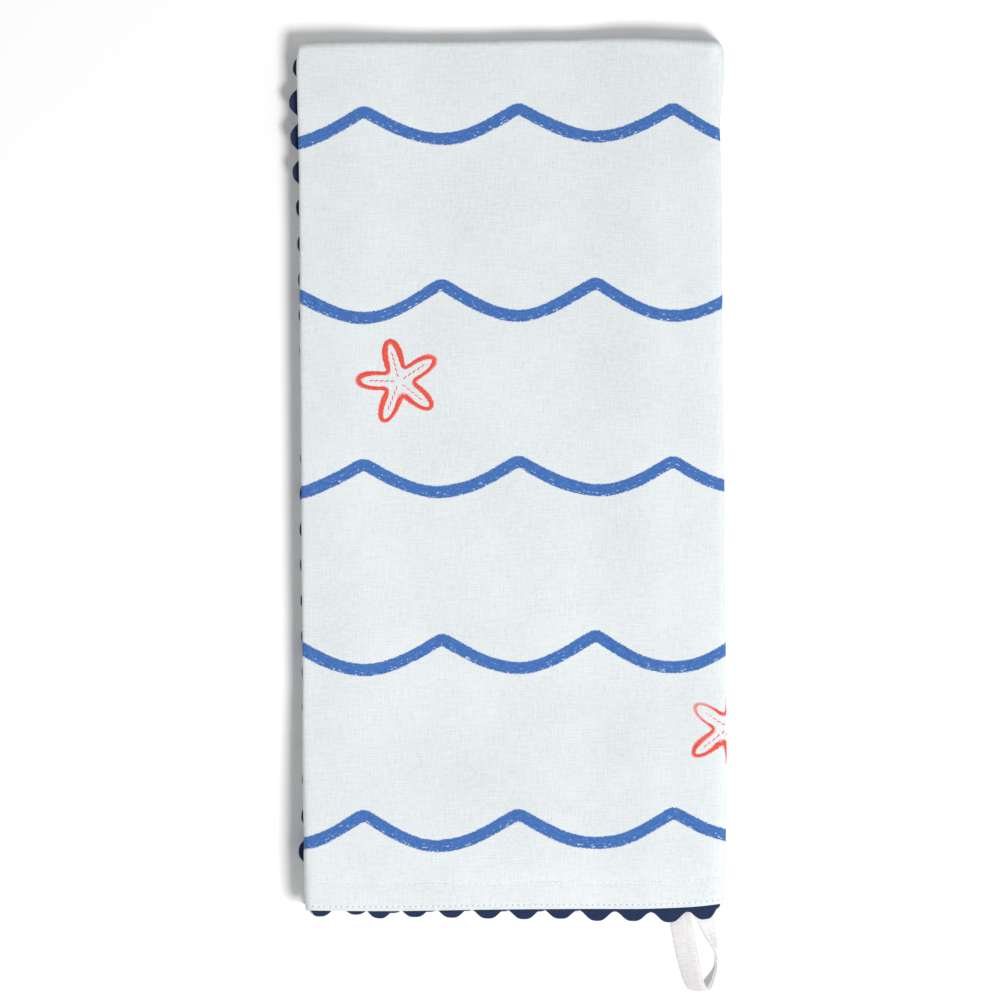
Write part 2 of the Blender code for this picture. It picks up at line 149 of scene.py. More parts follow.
def read(table, column, at):
    """A column of a table at places between its rows."""
    xs = np.array([row[0] for row in table])
    ys = np.array([getattr(row, column) for row in table])
    wide = np.concatenate([[0], np.arange(len(xs)), [len(xs) - 1]])
    slopes = (ys[wide[2:]] - ys[wide[:-2]]) / (xs[wide[2:]] - xs[wide[:-2]])
    at = np.clip(np.asarray(at, float), xs[0], xs[-1])
    k = np.clip(np.searchsorted(xs, at), 1, len(xs) - 1)
    width = xs[k] - xs[k - 1]
    t = (at - xs[k - 1]) / width
    return (
        ys[k - 1] * (2 * t**3 - 3 * t**2 + 1)
        + slopes[k - 1] * width * (t**3 - 2 * t**2 + t)
        + ys[k] * (3 * t**2 - 2 * t**3)
        + slopes[k] * width * (t**3 - t**2)
    )


def either(a, b):
    """Two zones joined: full where either is full."""
    return a + b - a * b


print("top fold at x = 0: y = %.1f mm" % read(EDGE_POINTS, "top", 0.0))


# %% Heights of the six layers
def loose_air(x, y, across, along, shift=0):
    """Slow waves from 0 to 1 in the air between two layers."""
    return 0.5 + 0.5 * np.sin(x / across + y / along + shift)


def levels(x, y, front):
    """Heights of the middles of C, B and A above the middle of the stack."""
    end = ease(END_NONE, END_FULL, y)
    over_c = either(end, ease(LEFT_NONE, LEFT_FULL, x))
    over_b = either(end, ease(RIGHT_NONE, RIGHT_FULL, x))
    loose = AIR * (1 - end)
    hem = HEM_SHEET - SHEET
    trim_gap = 2 * SEAM_GAP + TRIM - LAYER_GAP
    loop = end * ease(LOOP_NONE, LOOP_FULL, x) * float(front)
    c = LAYER_GAP / 2 + loose * loose_air(x, y, 31, 57) / 2
    c = c + (SHEET + hem * over_c) / 2
    b = c + SHEET + hem * (over_c + over_b) / 2
    b = b + LAYER_GAP + trim_gap * over_c + loose * loose_air(x, y, 43, -71, 1)
    a = b + SHEET + hem * (over_b + end) / 2
    a = a + LAYER_GAP + trim_gap * over_b + (SEAM_GAP + TRIM) * end
    a = a + (SEAM_GAP + LOOP_SEWN + LOOP_SLACK) * loop
    a = a + loose * loose_air(x, y, 37, 49, 4)
    return {"C": c, "B": b, "A": a}


def half_height(x, y):
    end = ease(END_NONE, END_FULL, y)
    return levels(x, y, False)["A"] + (SHEET + (HEM_SHEET - SHEET) * end) / 2


def cloth_run(half, at):
    """Length of cloth from the front hem."""
    at = np.asarray(at, float)
    return {"front": at, "turn": RUN + TURN * at / math.pi, "rear": CLOTH_LENGTH - at}[half]


print("half the stack at the middle: %.1f mm" % half_height(0.0, 0.0))


# %% Places along the cloth
def pivot_y(x):
    top = read(EDGE_POINTS, "top", x)
    return top - half_height(x, top)


def run_y(half, panel, at, x, left, right):
    if half == "turn":
        return pivot_y(x)
    hem = read(EDGE_POINTS, half, x)
    if panel == "B":
        hem = read(EDGE_POINTS, half, left) + B_SKEW * (x - left)
    if panel == "C":
        hem = read(EDGE_POINTS, half, right) + C_SKEW * (right - x)
    return hem + (pivot_y(x) - hem) * at / RUN


def turn_reach(at):
    """How much further than a round turn the pressed one reaches."""
    return (np.abs(np.cos(at)) ** PRESSED + np.abs(np.sin(at)) ** PRESSED) ** (-1 / PRESSED)


print("corner of the pressed turn: %.2f of a round one" % turn_reach(math.pi / 4))


# %% The two fold arcs
def section(half, at):
    """The two fold arcs and the free edges, at places along the cloth."""
    run = cloth_run(half, at)
    left, right = read(FOLD_LINES, "left", run), read(FOLD_LINES, "right", run)
    front = half != "rear"
    near_left = levels(left, run_y(half, "A", at, left, left, right), front)
    near_right = levels(right, run_y(half, "A", at, right, left, right), front)
    left_radius = (near_left["A"] - near_left["B"]) / 2
    right_radius = (near_right["A"] - near_right["C"]) / 2
    return {
        "left": left,
        "right": right,
        "left_radius": left_radius,
        "right_radius": right_radius,
        "left_centre": left + HEM_SHEET / 2 + left_radius,
        "right_centre": right - HEM_SHEET / 2 - right_radius,
        "b_edge": right - B_SHORT,
        "c_edge": left - read(SIDE_REACH, "reach", run) + BRAID_PAST_EDGE,
    }


print("left arc at the front hem: radius %.1f mm" % section("front", 0.0)["left_radius"])


# %% A point of the fold
def place(panel, value, half, at, out):
    """Points of the folded towel, in metres, out from the middle of its sheet."""
    value, at, out = np.broadcast_arrays(value, at, out)
    s = section(half, at)
    front = half != "rear"
    if panel in "ABC":
        x = value.astype(float)
        y = run_y(half, panel, at, x, s["left_centre"], s["right_centre"])
        level = levels(x, y, front)[panel] + (out if panel == "A" else -out)
    else:
        side, other, way = (panel, "B", -1) if panel == "left" else (panel, "C", 1)
        fold_y = run_y(half, "A", at, s[side], s["left"], s["right"])
        near = levels(s[side], fold_y, front)
        radius = s[side + "_radius"] + out
        x = s[side + "_centre"] + way * radius * np.sin(value)
        y = run_y(half, "A", at, x, s["left"], s["right"])
        level = (near["A"] + near[other]) / 2 + way * radius * np.cos(value)
    middle = half_height(x, y)
    if half == "turn":
        level = level * turn_reach(at)
        points = (x, y + level * np.sin(at), middle + level * np.cos(at))
    else:
        points = (x, y, middle + level if front else middle - level)
    return np.stack(np.broadcast_arrays(*points), axis=-1) * MM


print("fold height at the hem: %.1f mm" % (2 * half_height(0.0, -175.0)))

# %% [markdown]
# ## Flat cloth coordinates
#
# The print, the weave and the stitches belong to the flat cloth, not to the
# folded one. So each point also has u, its distance from the free edge of
# panel B, and v, its distance from the front hem. They become the sheet's UV
# map, and patterns made from them turn round the folds as real print does.


# %% From the section to the flat cloth and back
def flat_u(panel, value, s):
    """u of a place across the section, in millimetres."""
    left, right = s["left_centre"] + MIDDLE_U, s["right_centre"] + MIDDLE_U
    left_arc, right_arc = math.pi * s["left_radius"], math.pi * s["right_radius"]
    if panel == "A":
        return value + MIDDLE_U
    if panel == "left":
        return left - left_arc + s["left_radius"] * value
    if panel == "right":
        return right + s["right_radius"] * value
    if panel == "B":
        return left - left_arc - (value - s["left_centre"])
    return right + right_arc + (s["right_centre"] - value)


middle_section = section("front", RUN / 2)
middle_width = flat_u("C", middle_section["c_edge"], middle_section)
print("cloth across the fold, half way up: %.0f mm" % middle_width)


# %% New pieces
def linked(name, content):
    """A new object in the scene, at the origin."""
    piece = bpy.data.objects.new(name, content)
    bpy.context.scene.collection.objects.link(piece)
    return piece


def new_mesh_piece(name, points, faces, uv):
    """An object from points, faces and one UV per point."""
    mesh = bpy.data.meshes.new(name)
    mesh.from_pydata(points.reshape(-1, 3).tolist(), [], faces)
    layer = mesh.uv_layers.new(name="flat_cloth")
    corner = np.empty(len(mesh.loops), np.int32)
    mesh.loops.foreach_get("vertex_index", corner)
    layer.data.foreach_set("uv", uv.reshape(-1, 2)[corner].astype(np.float32).ravel())
    mesh.shade_smooth()
    return linked(name, mesh)


def grid_faces(rows, columns, closed=False):
    """Quads of a grid of points, row by row; closed joins the last column."""
    across = columns if closed else columns - 1
    i, j = np.meshgrid(np.arange(rows - 1), np.arange(across), indexing="ij")
    k = (j + 1) % columns
    quads = (i * columns + j, i * columns + k, (i + 1) * columns + k, (i + 1) * columns + j)
    return np.stack(quads, axis=-1).reshape(-1, 4).tolist()


# %% [markdown]
# ## The woven sheet
#
# The solid is 1 mm thick so that its layers can lie apart. Linen-look cotton
# is about half that, so the visible cloth is a thin sheet whose outer face is
# the solid's. The grid is fine on the top panel, which is seen most. A
# Solidify modifier gives it its thickness: a vertex group makes it double at
# the hems, where the cloth is turned over. Pressed cloth is never quite flat,
# so small waves are added, and a soft ridge where the hidden edge of panel B
# lies under the top panel.

# %% Small waves in pressed cloth
RIPPLES = 16
rng = np.random.default_rng(20)
ripple_turn = rng.uniform(0, 2 * math.pi, RIPPLES)
ripple_shift = rng.uniform(0, 2 * math.pi, RIPPLES)
ripple_length = np.geomspace(70.0, 13.0, RIPPLES)
ripple_height = 0.0016 * ripple_length


def ripples(u, v):
    """Height of the cloth's small waves in millimetres."""
    total = np.zeros(np.broadcast(u, v).shape)
    for turn, shift, length, height in zip(ripple_turn, ripple_shift, ripple_length, ripple_height):
        total += height * np.sin((u * np.cos(turn) + v * np.sin(turn)) * 2 * math.pi / length + shift)
    return total


print("waves from %.0f to %.0f mm long" % (ripple_length[0], ripple_length[-1]))

# %% Ridge over the hidden edge
HIDDEN_EDGE = 76.5  # x of the ridge over the hidden edge of panel B
RIDGE = 0.42
RIDGE_WIDTH = 9.0


def hidden_edge_ridge(x, y):
    """Soft ridge on the top panel, stronger towards the top fold."""
    strength = 0.55 + 0.45 * ease(-60.0, 90.0, y) - 0.3 * ease(140.0, 176.0, y)
    shape = np.exp(-(((x - HIDDEN_EDGE) / RIDGE_WIDTH) ** 2) * 2.2)
    dip = np.exp(-(((x - HIDDEN_EDGE + 15.0) / 10.0) ** 2)) * 0.35
    return RIDGE * strength * (shape - dip)


# %% The sheet's grid
CLOTH = 0.5  # thickness of the cloth itself
HEM_CLOTH = 1.1
HEM_LINE = 10.8  # depth of the hem and place of its inner row of stitches
TOP_STEPS, UNDER_STEPS, ARC_STEPS = 74, 36, 7
FRONT_STEPS, REAR_STEPS, TURN_STEPS = 150, 84, 18


def shares(count, crowd=0.0):
    """Even shares from 0 to 1, crowded towards both ends."""
    t = np.linspace(0, 1, count + 1)
    return t - crowd * np.sin(2 * math.pi * t) / (2 * math.pi)


def run_blocks():
    """The stretches of the grid along the cloth: half and places."""
    hem = np.array([0.0, 0.5, 1.2, 2.2, 4.0, 6.5, 9.2, 10.3, HEM_LINE, 11.4, 12.4, 14.0])
    front = np.concatenate([hem, 16.0 + (RUN - 16.0) * shares(FRONT_STEPS, 0.3)])
    rear = np.concatenate([hem, 16.0 + (RUN - 16.0) * shares(REAR_STEPS, 0.3)])
    turn = np.linspace(0, math.pi, TURN_STEPS + 1)[1:-1]
    return [("front", front), ("turn", turn), ("rear", rear[::-1])]


def section_blocks(s):
    """The stretches across the section: panel and places, one row per section."""
    left, right = s["left_centre"][:, None], s["right_centre"][:, None]
    b_edge, c_edge = s["b_edge"][:, None], s["c_edge"][:, None]
    under = shares(UNDER_STEPS, 0.5)[None, :]
    arc = np.linspace(0, math.pi, ARC_STEPS + 1)[None, :] * np.ones_like(left)
    return [
        ("B", b_edge + (left - b_edge) * under[:, :-1]),
        ("left", arc),
        ("A", left + (right - left) * shares(TOP_STEPS, 0.3)[None, 1:-1]),
        ("right", arc),
        ("C", right + (c_edge - right) * under[:, 1:]),
    ]


# %% One block of the sheet
def hem_share(u, v, width):
    """1 in the hems, 0 in the single cloth."""
    nearest = np.minimum(np.minimum(v, CLOTH_LENGTH - v), np.minimum(u, width - u))
    return 1 - ease(HEM_LINE - 0.4, HEM_LINE + 0.8, nearest)


def sheet_block(panel, value, half, at):
    """Points, flat coordinates and hem shares of one block of the grid."""
    s = {key: found[:, None] for key, found in section(half, at).items()}
    at = at[:, None]
    u = flat_u(panel, value, s)
    width = flat_u("C", s["c_edge"], s)
    v = cloth_run(half, at) + 0 * u
    start = flat_u("B", s["b_edge"], s)
    hem = hem_share(u - start, v, width - start)
    thick = CLOTH + (HEM_CLOTH - CLOTH) * hem
    solid = SHEET + (HEM_SHEET - SHEET) * hem
    loose = 1 - 0.6 * hem
    lift = (solid - thick) / 2 + ripples(u, v) * loose * 0.5
    pucker = 0.09 * np.sin(2 * math.pi * u / 9.0 + 2 * np.sin(u / 23.0))
    lift = lift + pucker * np.exp(-(((np.minimum(v, CLOTH_LENGTH - v) - HEM_LINE) / 3.0) ** 2))
    if half == "rear" and panel == "A":
        lift = (solid - thick) / 2 + 0 * u
    if half == "front" and panel == "A":
        y = run_y(half, panel, at, value, s["left"], s["right"])
        lift = lift + hidden_edge_ridge(value, y)
        seam = np.exp(-(((v - HEM_LINE) / 0.9) ** 2))
        edge_row = np.exp(-(((v - 1.6) / 0.7) ** 2))
        lift = lift - 0.14 * seam - 0.08 * edge_row
    return place(panel, value, half, at, lift), np.stack([u, v], axis=-1) * MM, hem


# %% The whole sheet
def woven_sheet():
    points, uvs, hems = [], [], []
    for half, at in run_blocks():
        blocks = [
            sheet_block(panel, value, half, at)
            for panel, value in section_blocks(section(half, at))
        ]
        for kept, part in zip((points, uvs, hems), zip(*blocks)):
            kept.append(np.concatenate(part, axis=1))
    points, uvs, hems = (np.concatenate(part, axis=0) for part in (points, uvs, hems))
    rows, columns = hems.shape
    sheet = new_mesh_piece("woven_sheet", points, grid_faces(rows, columns), uvs)
    group = sheet.vertex_groups.new(name="hem_plies")
    for k, hem in enumerate(hems.ravel()):
        group.add([k], (CLOTH + (HEM_CLOTH - CLOTH) * hem) / HEM_CLOTH, "REPLACE")
    thickness = sheet.modifiers.new("plies", "SOLIDIFY")
    thickness.thickness = HEM_CLOTH * MM
    thickness.offset = 0.0
    thickness.vertex_group = "hem_plies"
    thickness.use_even_offset = True
    print("woven sheet: %d x %d points" % (rows, columns))
    return sheet


cloth_sheet = woven_sheet()

# %% [markdown]
# ## Node groups for yarn
#
# Cloth and tape share the plain weave, so it is a node group. The print and
# the braid get groups of their own, which keeps each material short. The
# plain weave takes flat coordinates in millimetres and gives a height and a
# shade: two sets of threads cross over and under, and noise makes each thread
# a little thick or thin along its way, the slubs of linen. The group gives
# only values that change over the surface; the shaders stay in the materials.


# %% A small kit for node trees
class Tree:
    """Adds nodes to a tree and links them, so that a formula reads as one."""

    def __init__(self, nodes_of):
        self.tree = nodes_of

    def add(self, kind, *given, **settings):
        """A node whose first inputs are given."""
        node = self.tree.nodes.new(kind)
        for name, value in settings.items():
            setattr(node, name, value)
        for socket, value in zip(node.inputs, given):
            self.feed(socket, value)
        return node

    def node(self, kind, given, **settings):
        """A node whose inputs are given by name."""
        node = self.add(kind, **settings)
        for name, value in given.items():
            self.feed(node.inputs[name], value)
        return node

    def feed(self, socket, value):
        if value is None:
            return
        if isinstance(value, bpy.types.NodeSocket):
            self.tree.links.new(value, socket)
        else:
            socket.default_value = value

    def math(self, operation, a, b=None, c=None):
        return self.add("ShaderNodeMath", a, b, c, operation=operation).outputs[0]

    def times(self, a, b):
        return self.math("MULTIPLY", a, b)

    def plus(self, a, b):
        return self.math("ADD", a, b)

    def minus(self, a, b):
        return self.math("SUBTRACT", a, b)

    def smooth(self, value, low, high):
        """0 below low, 1 above high."""
        given = {"Value": value, "From Min": low, "From Max": high}
        node = self.node("ShaderNodeMapRange", given, interpolation_type="SMOOTHSTEP")
        return node.outputs["Result"]

    def between(self, value, low, high):
        """A value from 0 to 1 spread from low to high."""
        given = {"Value": value, "To Min": low, "To Max": high}
        return self.node("ShaderNodeMapRange", given).outputs["Result"]

    def split(self, vector):
        node = self.add("ShaderNodeSeparateXYZ", vector)
        return node.outputs[0], node.outputs[1], node.outputs[2]

    def join(self, x, y, z=0.0):
        return self.add("ShaderNodeCombineXYZ", x, y, z).outputs[0]

    def noise(self, vector, scale, detail=2.0, rough=0.5):
        given = {"Vector": vector, "Scale": scale, "Detail": detail, "Roughness": rough}
        return self.node("ShaderNodeTexNoise", given).outputs[0]

    def mix(self, share, a, b):
        given = {"Factor": share, 6: a, 7: b}
        return self.node("ShaderNodeMix", given, data_type="RGBA").outputs[2]

    def bump(self, height, distance, strength):
        given = {"Height": height, "Distance": distance, "Strength": strength}
        return self.node("ShaderNodeBump", given).outputs["Normal"]

    def group(self, group, **inputs):
        given = {name.replace("_", " "): value for name, value in inputs.items()}
        return self.node("ShaderNodeGroup", given, node_tree=group).outputs


# %% A new shader group
def new_group(name, inputs, outputs):
    """A shader group; inputs and outputs are names with a socket kind and a value."""
    group = bpy.data.node_groups.new(name, "ShaderNodeTree")
    for label, kind, value in inputs:
        socket = group.interface.new_socket(label, in_out="INPUT", socket_type=kind)
        if value is not None:
            socket.default_value = value
    for label, kind in outputs:
        group.interface.new_socket(label, in_out="OUTPUT", socket_type=kind)
    tree = Tree(group)
    entry = tree.add("NodeGroupInput")
    leave = tree.add("NodeGroupOutput")
    return group, tree, entry.outputs, leave.inputs


# %% Plain weave with slubs
FLOAT, VECTOR = "NodeSocketFloat", "NodeSocketVector"


def plain_weave_group():
    group, t, given, result = new_group(
        "plain weave",
        [("Flat mm", VECTOR, None), ("Pitch", FLOAT, 0.5), ("Slub", FLOAT, 0.4)],
        [("Height", FLOAT), ("Shade", FLOAT)],
    )
    u, v, _ = t.split(given["Flat mm"])
    drift = t.noise(given["Flat mm"], 0.06, 2.0)
    u = t.plus(u, t.times(drift, 1.2))
    v = t.plus(v, t.times(drift, -1.0))
    turn_u = t.times(t.math("DIVIDE", u, given["Pitch"]), math.pi)
    turn_v = t.times(t.math("DIVIDE", v, given["Pitch"]), math.pi)
    over = t.times(t.math("SINE", turn_u), t.math("SINE", turn_v))
    round_u = t.math("ABSOLUTE", t.math("SINE", turn_u))
    round_v = t.math("ABSOLUTE", t.math("SINE", turn_v))
    warp = t.times(round_u, t.between(over, 0.5, 1.0))
    weft = t.times(round_v, t.between(over, 0.5, 0.0))
    slub_u = t.noise(t.join(t.times(u, 2.1), t.times(v, 0.12)), 1.0, 2.0, 0.6)
    slub_v = t.noise(t.join(t.times(u, 0.1), t.times(v, 2.1), 7.0), 1.0, 2.0, 0.6)
    slubs = t.times(t.minus(t.plus(slub_u, slub_v), 1.0), given["Slub"])
    fuzz = t.times(t.minus(t.noise(given["Flat mm"], 1.9, 3.0, 0.75), 0.5), 1.9)
    height = t.plus(t.plus(t.times(warp, 0.26), t.times(weft, 0.26)), t.plus(slubs, fuzz))
    t.feed(result["Height"], height)
    t.feed(result["Shade"], t.plus(t.plus(slubs, t.times(fuzz, 0.6)), t.times(over, 0.12)))
    return group


plain_weave = plain_weave_group()
print("plain weave: %d nodes" % len(plain_weave.nodes))


# %% [markdown]
# ## The print
#
# The print is a row of shallow scallops every seventy-two millimetres, and
# each second row is shifted by half a scallop, as fish scales are. The group
# measures how far a point of the cloth is from the nearest scalloped line and
# inks it up to the stroke's half width. Ink sits on the high threads, so the
# weave and a fine noise make the stroke's edges ragged. It misses some spots,
# more of them on the lower side, as a dry brush does.

# %% Scallop group
ROW_PITCH, FIRST_ROW = 72.0, 33.0
SCALLOP = CLOTH_WIDTH / 8
SCALLOP_DEPTH = 13.0
CUSP_ROUND = 0.006
STROKE = 2.7  # half the width of a stroke


def scallop_rows_group():
    group, t, given, result = new_group(
        "scallop rows",
        [("Flat mm", VECTOR, None), ("Weave", FLOAT, 0.5), ("Stroke", FLOAT, STROKE)],
        [("Ink", FLOAT), ("Depth", FLOAT)],
    )
    u, v, _ = t.split(given["Flat mm"])
    row = t.math("ROUND", t.math("DIVIDE", t.minus(v, FIRST_ROW), ROW_PITCH))
    from_row = t.minus(t.minus(v, FIRST_ROW), t.times(row, ROW_PITCH))
    turn = t.plus(t.times(u, math.pi / SCALLOP), t.times(row, math.pi / 2))
    sine, cosine = t.math("SINE", turn), t.math("COSINE", turn)
    hang = t.math("SQRT", t.plus(t.times(sine, sine), CUSP_ROUND))
    slope = t.math("DIVIDE", t.times(sine, cosine), hang)
    slope = t.times(slope, SCALLOP_DEPTH * math.pi / SCALLOP)
    steep = t.math("SQRT", t.plus(t.times(slope, slope), 1.0))
    line = t.times(t.minus(0.5, hang), SCALLOP_DEPTH)
    hand = t.times(t.minus(t.noise(t.join(u, t.times(row, 9.0)), 0.03, 1.0), 0.5), 2.4)
    across = t.math("DIVIDE", t.minus(from_row, t.plus(line, hand)), steep)
    ragged = t.times(t.minus(t.noise(given["Flat mm"], 1.2, 3.0, 0.65), 0.5), 1.1)
    ragged = t.plus(ragged, t.times(t.minus(given["Weave"], 0.5), 0.4))
    swell = t.between(t.noise(t.join(u, row), 0.05, 2.0), 0.86, 1.14)
    inside = t.minus(t.plus(t.times(given["Stroke"], swell), ragged), t.math("ABSOLUTE", across))
    ink = t.smooth(inside, -0.15, 0.3)
    streaks = t.noise(t.join(t.times(u, 0.35), t.times(across, 1.5), row), 1.0, 3.0, 0.6)
    flecks = t.noise(given["Flat mm"], 0.9, 2.0, 0.7)
    dry = t.plus(t.times(streaks, 0.55), t.times(flecks, 0.45))
    patch = t.times(t.noise(t.join(t.times(u, 0.04), row), 1.0, 1.0), 0.09)
    low_side = t.times(across, -0.02)
    gaps = t.smooth(t.plus(dry, t.plus(patch, low_side)), 0.645, 0.69)
    t.feed(result["Ink"], t.times(ink, t.minus(1.0, t.times(gaps, 0.8))))
    t.feed(result["Depth"], t.plus(t.times(streaks, 0.6), t.times(flecks, 0.4)))
    return group


scallop_rows = scallop_rows_group()
print("scallop rows: %d nodes" % len(scallop_rows.nodes))


# %% [markdown]
# ## Cloth material
#
# The print lies on white cloth with a faint rosy and grey mottle, and the
# needle holes of the hem's two rows are small dents with painted shade in
# them: grey dots. All of it reads the flat coordinates, so nothing stretches
# at the folds. A little sheen stands for the fibre ends.


# %% Colours of the cloth
def linear(red, green, blue):
    """A screen colour from 0 to 255 as linear light."""
    parts = [c / 255 for c in (red, green, blue)]
    return tuple(c / 12.92 if c <= 0.04045 else ((c + 0.055) / 1.055) ** 2.4 for c in parts) + (1.0,)


CLOTH_WHITE = linear(229, 238, 237)
CLOTH_SHADE = linear(210, 219, 219)
CLOTH_ROSY = linear(233, 230, 236)
INK_BLUE = linear(58, 101, 171)
INK_LIGHT = linear(90, 134, 198)
# The grey of the needle holes below is painted shade, the dark inside each hole.
HOLE_SHADE_GREY = linear(150, 156, 162)
STITCH_PITCH = 2.34
HEM_PITCH = 2.5
EDGE_ROW, HEM_ROW = 1.7, HEM_LINE
NEEDLE_HOLE = 0.3
FIBRE_GLOSS = 0.25  # specular level of dry cotton
print("cloth white as linear light: %.2f %.2f %.2f" % CLOTH_WHITE[:3])


# %% A new material
def new_material(name):
    material = bpy.data.materials.new(name)
    material.use_nodes = True
    material.node_tree.nodes.clear()
    t = Tree(material.node_tree)
    shader = t.add("ShaderNodeBsdfPrincipled")
    output = t.add("ShaderNodeOutputMaterial")
    t.tree.links.new(shader.outputs[0], output.inputs[0])
    return material, t, shader.inputs


def flat_mm(t):
    """The piece's own UV map in millimetres."""
    uv = t.add("ShaderNodeUVMap", uv_map="flat_cloth").outputs[0]
    return t.add("ShaderNodeVectorMath", uv, (1000.0,) * 3, operation="MULTIPLY").outputs[0]


def dress(t, surface, colour, rough, sheen, height, distance, strength):
    """Colour, roughness, sheen and fine relief of a textile."""
    t.feed(surface["Base Color"], colour)
    t.feed(surface["Roughness"], rough)
    surface["Sheen Weight"].default_value = sheen
    t.feed(surface["Normal"], t.bump(height, distance, strength))


def needle_holes(t, u, from_end, row, pitch, size):
    """Small dots in a row along u, at a distance from a hemmed end."""
    step = t.minus(t.math("MODULO", u, pitch), pitch / 2)
    away = t.minus(from_end, row)
    squared = t.plus(t.times(step, step), t.times(away, away))
    return t.minus(1.0, t.smooth(t.math("SQRT", squared), size * 0.6, size * 1.3))


# %% Printed cloth
def printed_cloth():
    material, t, surface = new_material("printed cloth")
    flat = flat_mm(t)
    u, v, _ = t.split(flat)
    weave = t.group(plain_weave, Flat_mm=flat, Pitch=0.74, Slub=1.3)
    ink = t.group(scallop_rows, Flat_mm=flat, Weave=weave["Height"], Stroke=STROKE)
    tone = t.plus(t.times(weave["Shade"], 0.5), t.times(t.noise(flat, 0.03, 3.0), 0.4))
    cloth = t.mix(t.smooth(tone, 0.0, 0.5), CLOTH_SHADE, CLOTH_WHITE)
    rosy = t.smooth(t.noise(flat, 0.6, 4.0, 0.8), 0.4, 0.6)
    cloth = t.mix(t.times(rosy, 0.6), cloth, CLOTH_ROSY)
    blue = t.mix(t.smooth(ink["Depth"], 0.35, 0.8), INK_BLUE, INK_LIGHT)
    colour = t.mix(ink["Ink"], cloth, blue)
    from_end = t.math("MINIMUM", v, t.minus(CLOTH_LENGTH, v))
    edge_holes = needle_holes(t, u, from_end, EDGE_ROW, STITCH_PITCH, NEEDLE_HOLE)
    hem_holes = needle_holes(t, u, from_end, HEM_ROW, HEM_PITCH, NEEDLE_HOLE * 0.7)
    patchy = t.between(t.noise(flat, 0.12, 2.0), 0.2, 1.3)
    holes = t.math("MAXIMUM", edge_holes, t.times(hem_holes, 0.45))
    # Painted shade in the needle holes: grey dots over the print, and a dent in the bump below.
    colour = t.mix(t.times(holes, patchy), colour, HOLE_SHADE_GREY)
    height = t.minus(weave["Height"], t.times(holes, 0.8))
    rough = t.between(weave["Height"], 0.92, 0.8)
    dress(t, surface, colour, rough, 0.08, height, 0.00012, 0.65)
    surface["Specular IOR Level"].default_value = FIBRE_GLOSS
    return material


cloth_material = printed_cloth()
print("printed cloth: %d nodes" % len(cloth_material.node_tree.nodes))
cloth_sheet.data.materials.append(cloth_material)
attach(cloth_sheet, "root")
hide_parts("towel_cloth")

# %% [markdown]
# ## Ric-rac
#
# Ric-rac is a narrow braid whose cords pull it into waves. Its outer edge is
# a row of broad humps with narrow valleys. It is sewn behind the hem, so its
# course is given as a row of points on the inside of the hem. Each point
# knows which way is inwards over the cloth, which way is up from the cloth
# and how far along the wave it is. One Geometry Nodes tree lays a strip over
# such a row: it puts both edges on the wave and gives the section one small
# crest for each cord. The cords run with the wave, as they do in real braid.

# %% Course of the braid
END_PITCH, SIDE_PITCH = 14.9, 14.7
HUMP, VALLEY, FULLNESS = 6.0, 2.1, 1.6
END_HUMP_AT = {"front": 4.7, "rear": 10.6}  # x of one hump on each hem
SIDE_HUMP_AT = 331.7
SIDE_INSET, HIDDEN_INSET, INSET_SHIFT, SIDE_START = 2.0, 6.0, 18.0, 13.0
BRAID = 0.85  # thickness of the braid itself
BRAID_LEVEL = -(HEM_SHEET / 2 + 0.1 + BRAID / 2)  # close behind the solid hem
CORDS, CORD_POINTS = 9, 3
TrimInset = namedtuple("TrimInset", "x front rear")
TRIM_INSETS = [TrimInset(*row) for row in (
    (-95.0, 6.0, 1.6),
    (-79.0, 6.9, 1.6),
    (-70.0, 6.9, 2.1),
    (-56.0, 3.1, 2.7),
    (-40.0, 3.4, 3.2),
    (-18.0, 2.6, 3.5),
    (5.0, 1.9, 3.0),
    (20.0, 2.0, 3.0),
    (34.0, 1.1, 3.0),
    (50.0, 1.0, 3.0),
    (65.0, 0.1, 3.0),
    (79.0, 0.4, 3.0),
    (95.0, 0.8, 3.0),
)]


print("humps on a short end: %.0f" % (CLOTH_WIDTH / END_PITCH))


# %% The braid's way along a short end
def end_inset(half, panel, value, s):
    """How far inside the hem's edge the middle of the braid runs."""
    if panel == "A":
        return read(TRIM_INSETS, half, value)
    side = "left" if panel in ("left", "B") else "right"
    radius, centre = s[side + "_radius"], s[side + "_centre"]
    if panel == "left":
        past_fold = radius * (math.pi - value)
    elif panel == "right":
        past_fold = radius * value
    else:
        past_fold = radius * math.pi + np.abs(value - centre)
    at_fold = read(TRIM_INSETS, half, centre)
    return at_fold + (HIDDEN_INSET - at_fold) * ease(0.0, INSET_SHIFT, past_fold)


def course(point_at, inset, from_hump):
    """Points on the braid's middle line with their inward and upward vectors."""
    reach = 4.0
    middle = point_at(inset, BRAID_LEVEL)
    inward = (point_at(inset + reach, BRAID_LEVEL) - point_at(inset - reach, BRAID_LEVEL)) / 2
    upward = point_at(inset, BRAID_LEVEL + 0.5) - point_at(inset, BRAID_LEVEL - 0.5)
    return middle, inward / (reach * MM), upward / MM, from_hump * MM


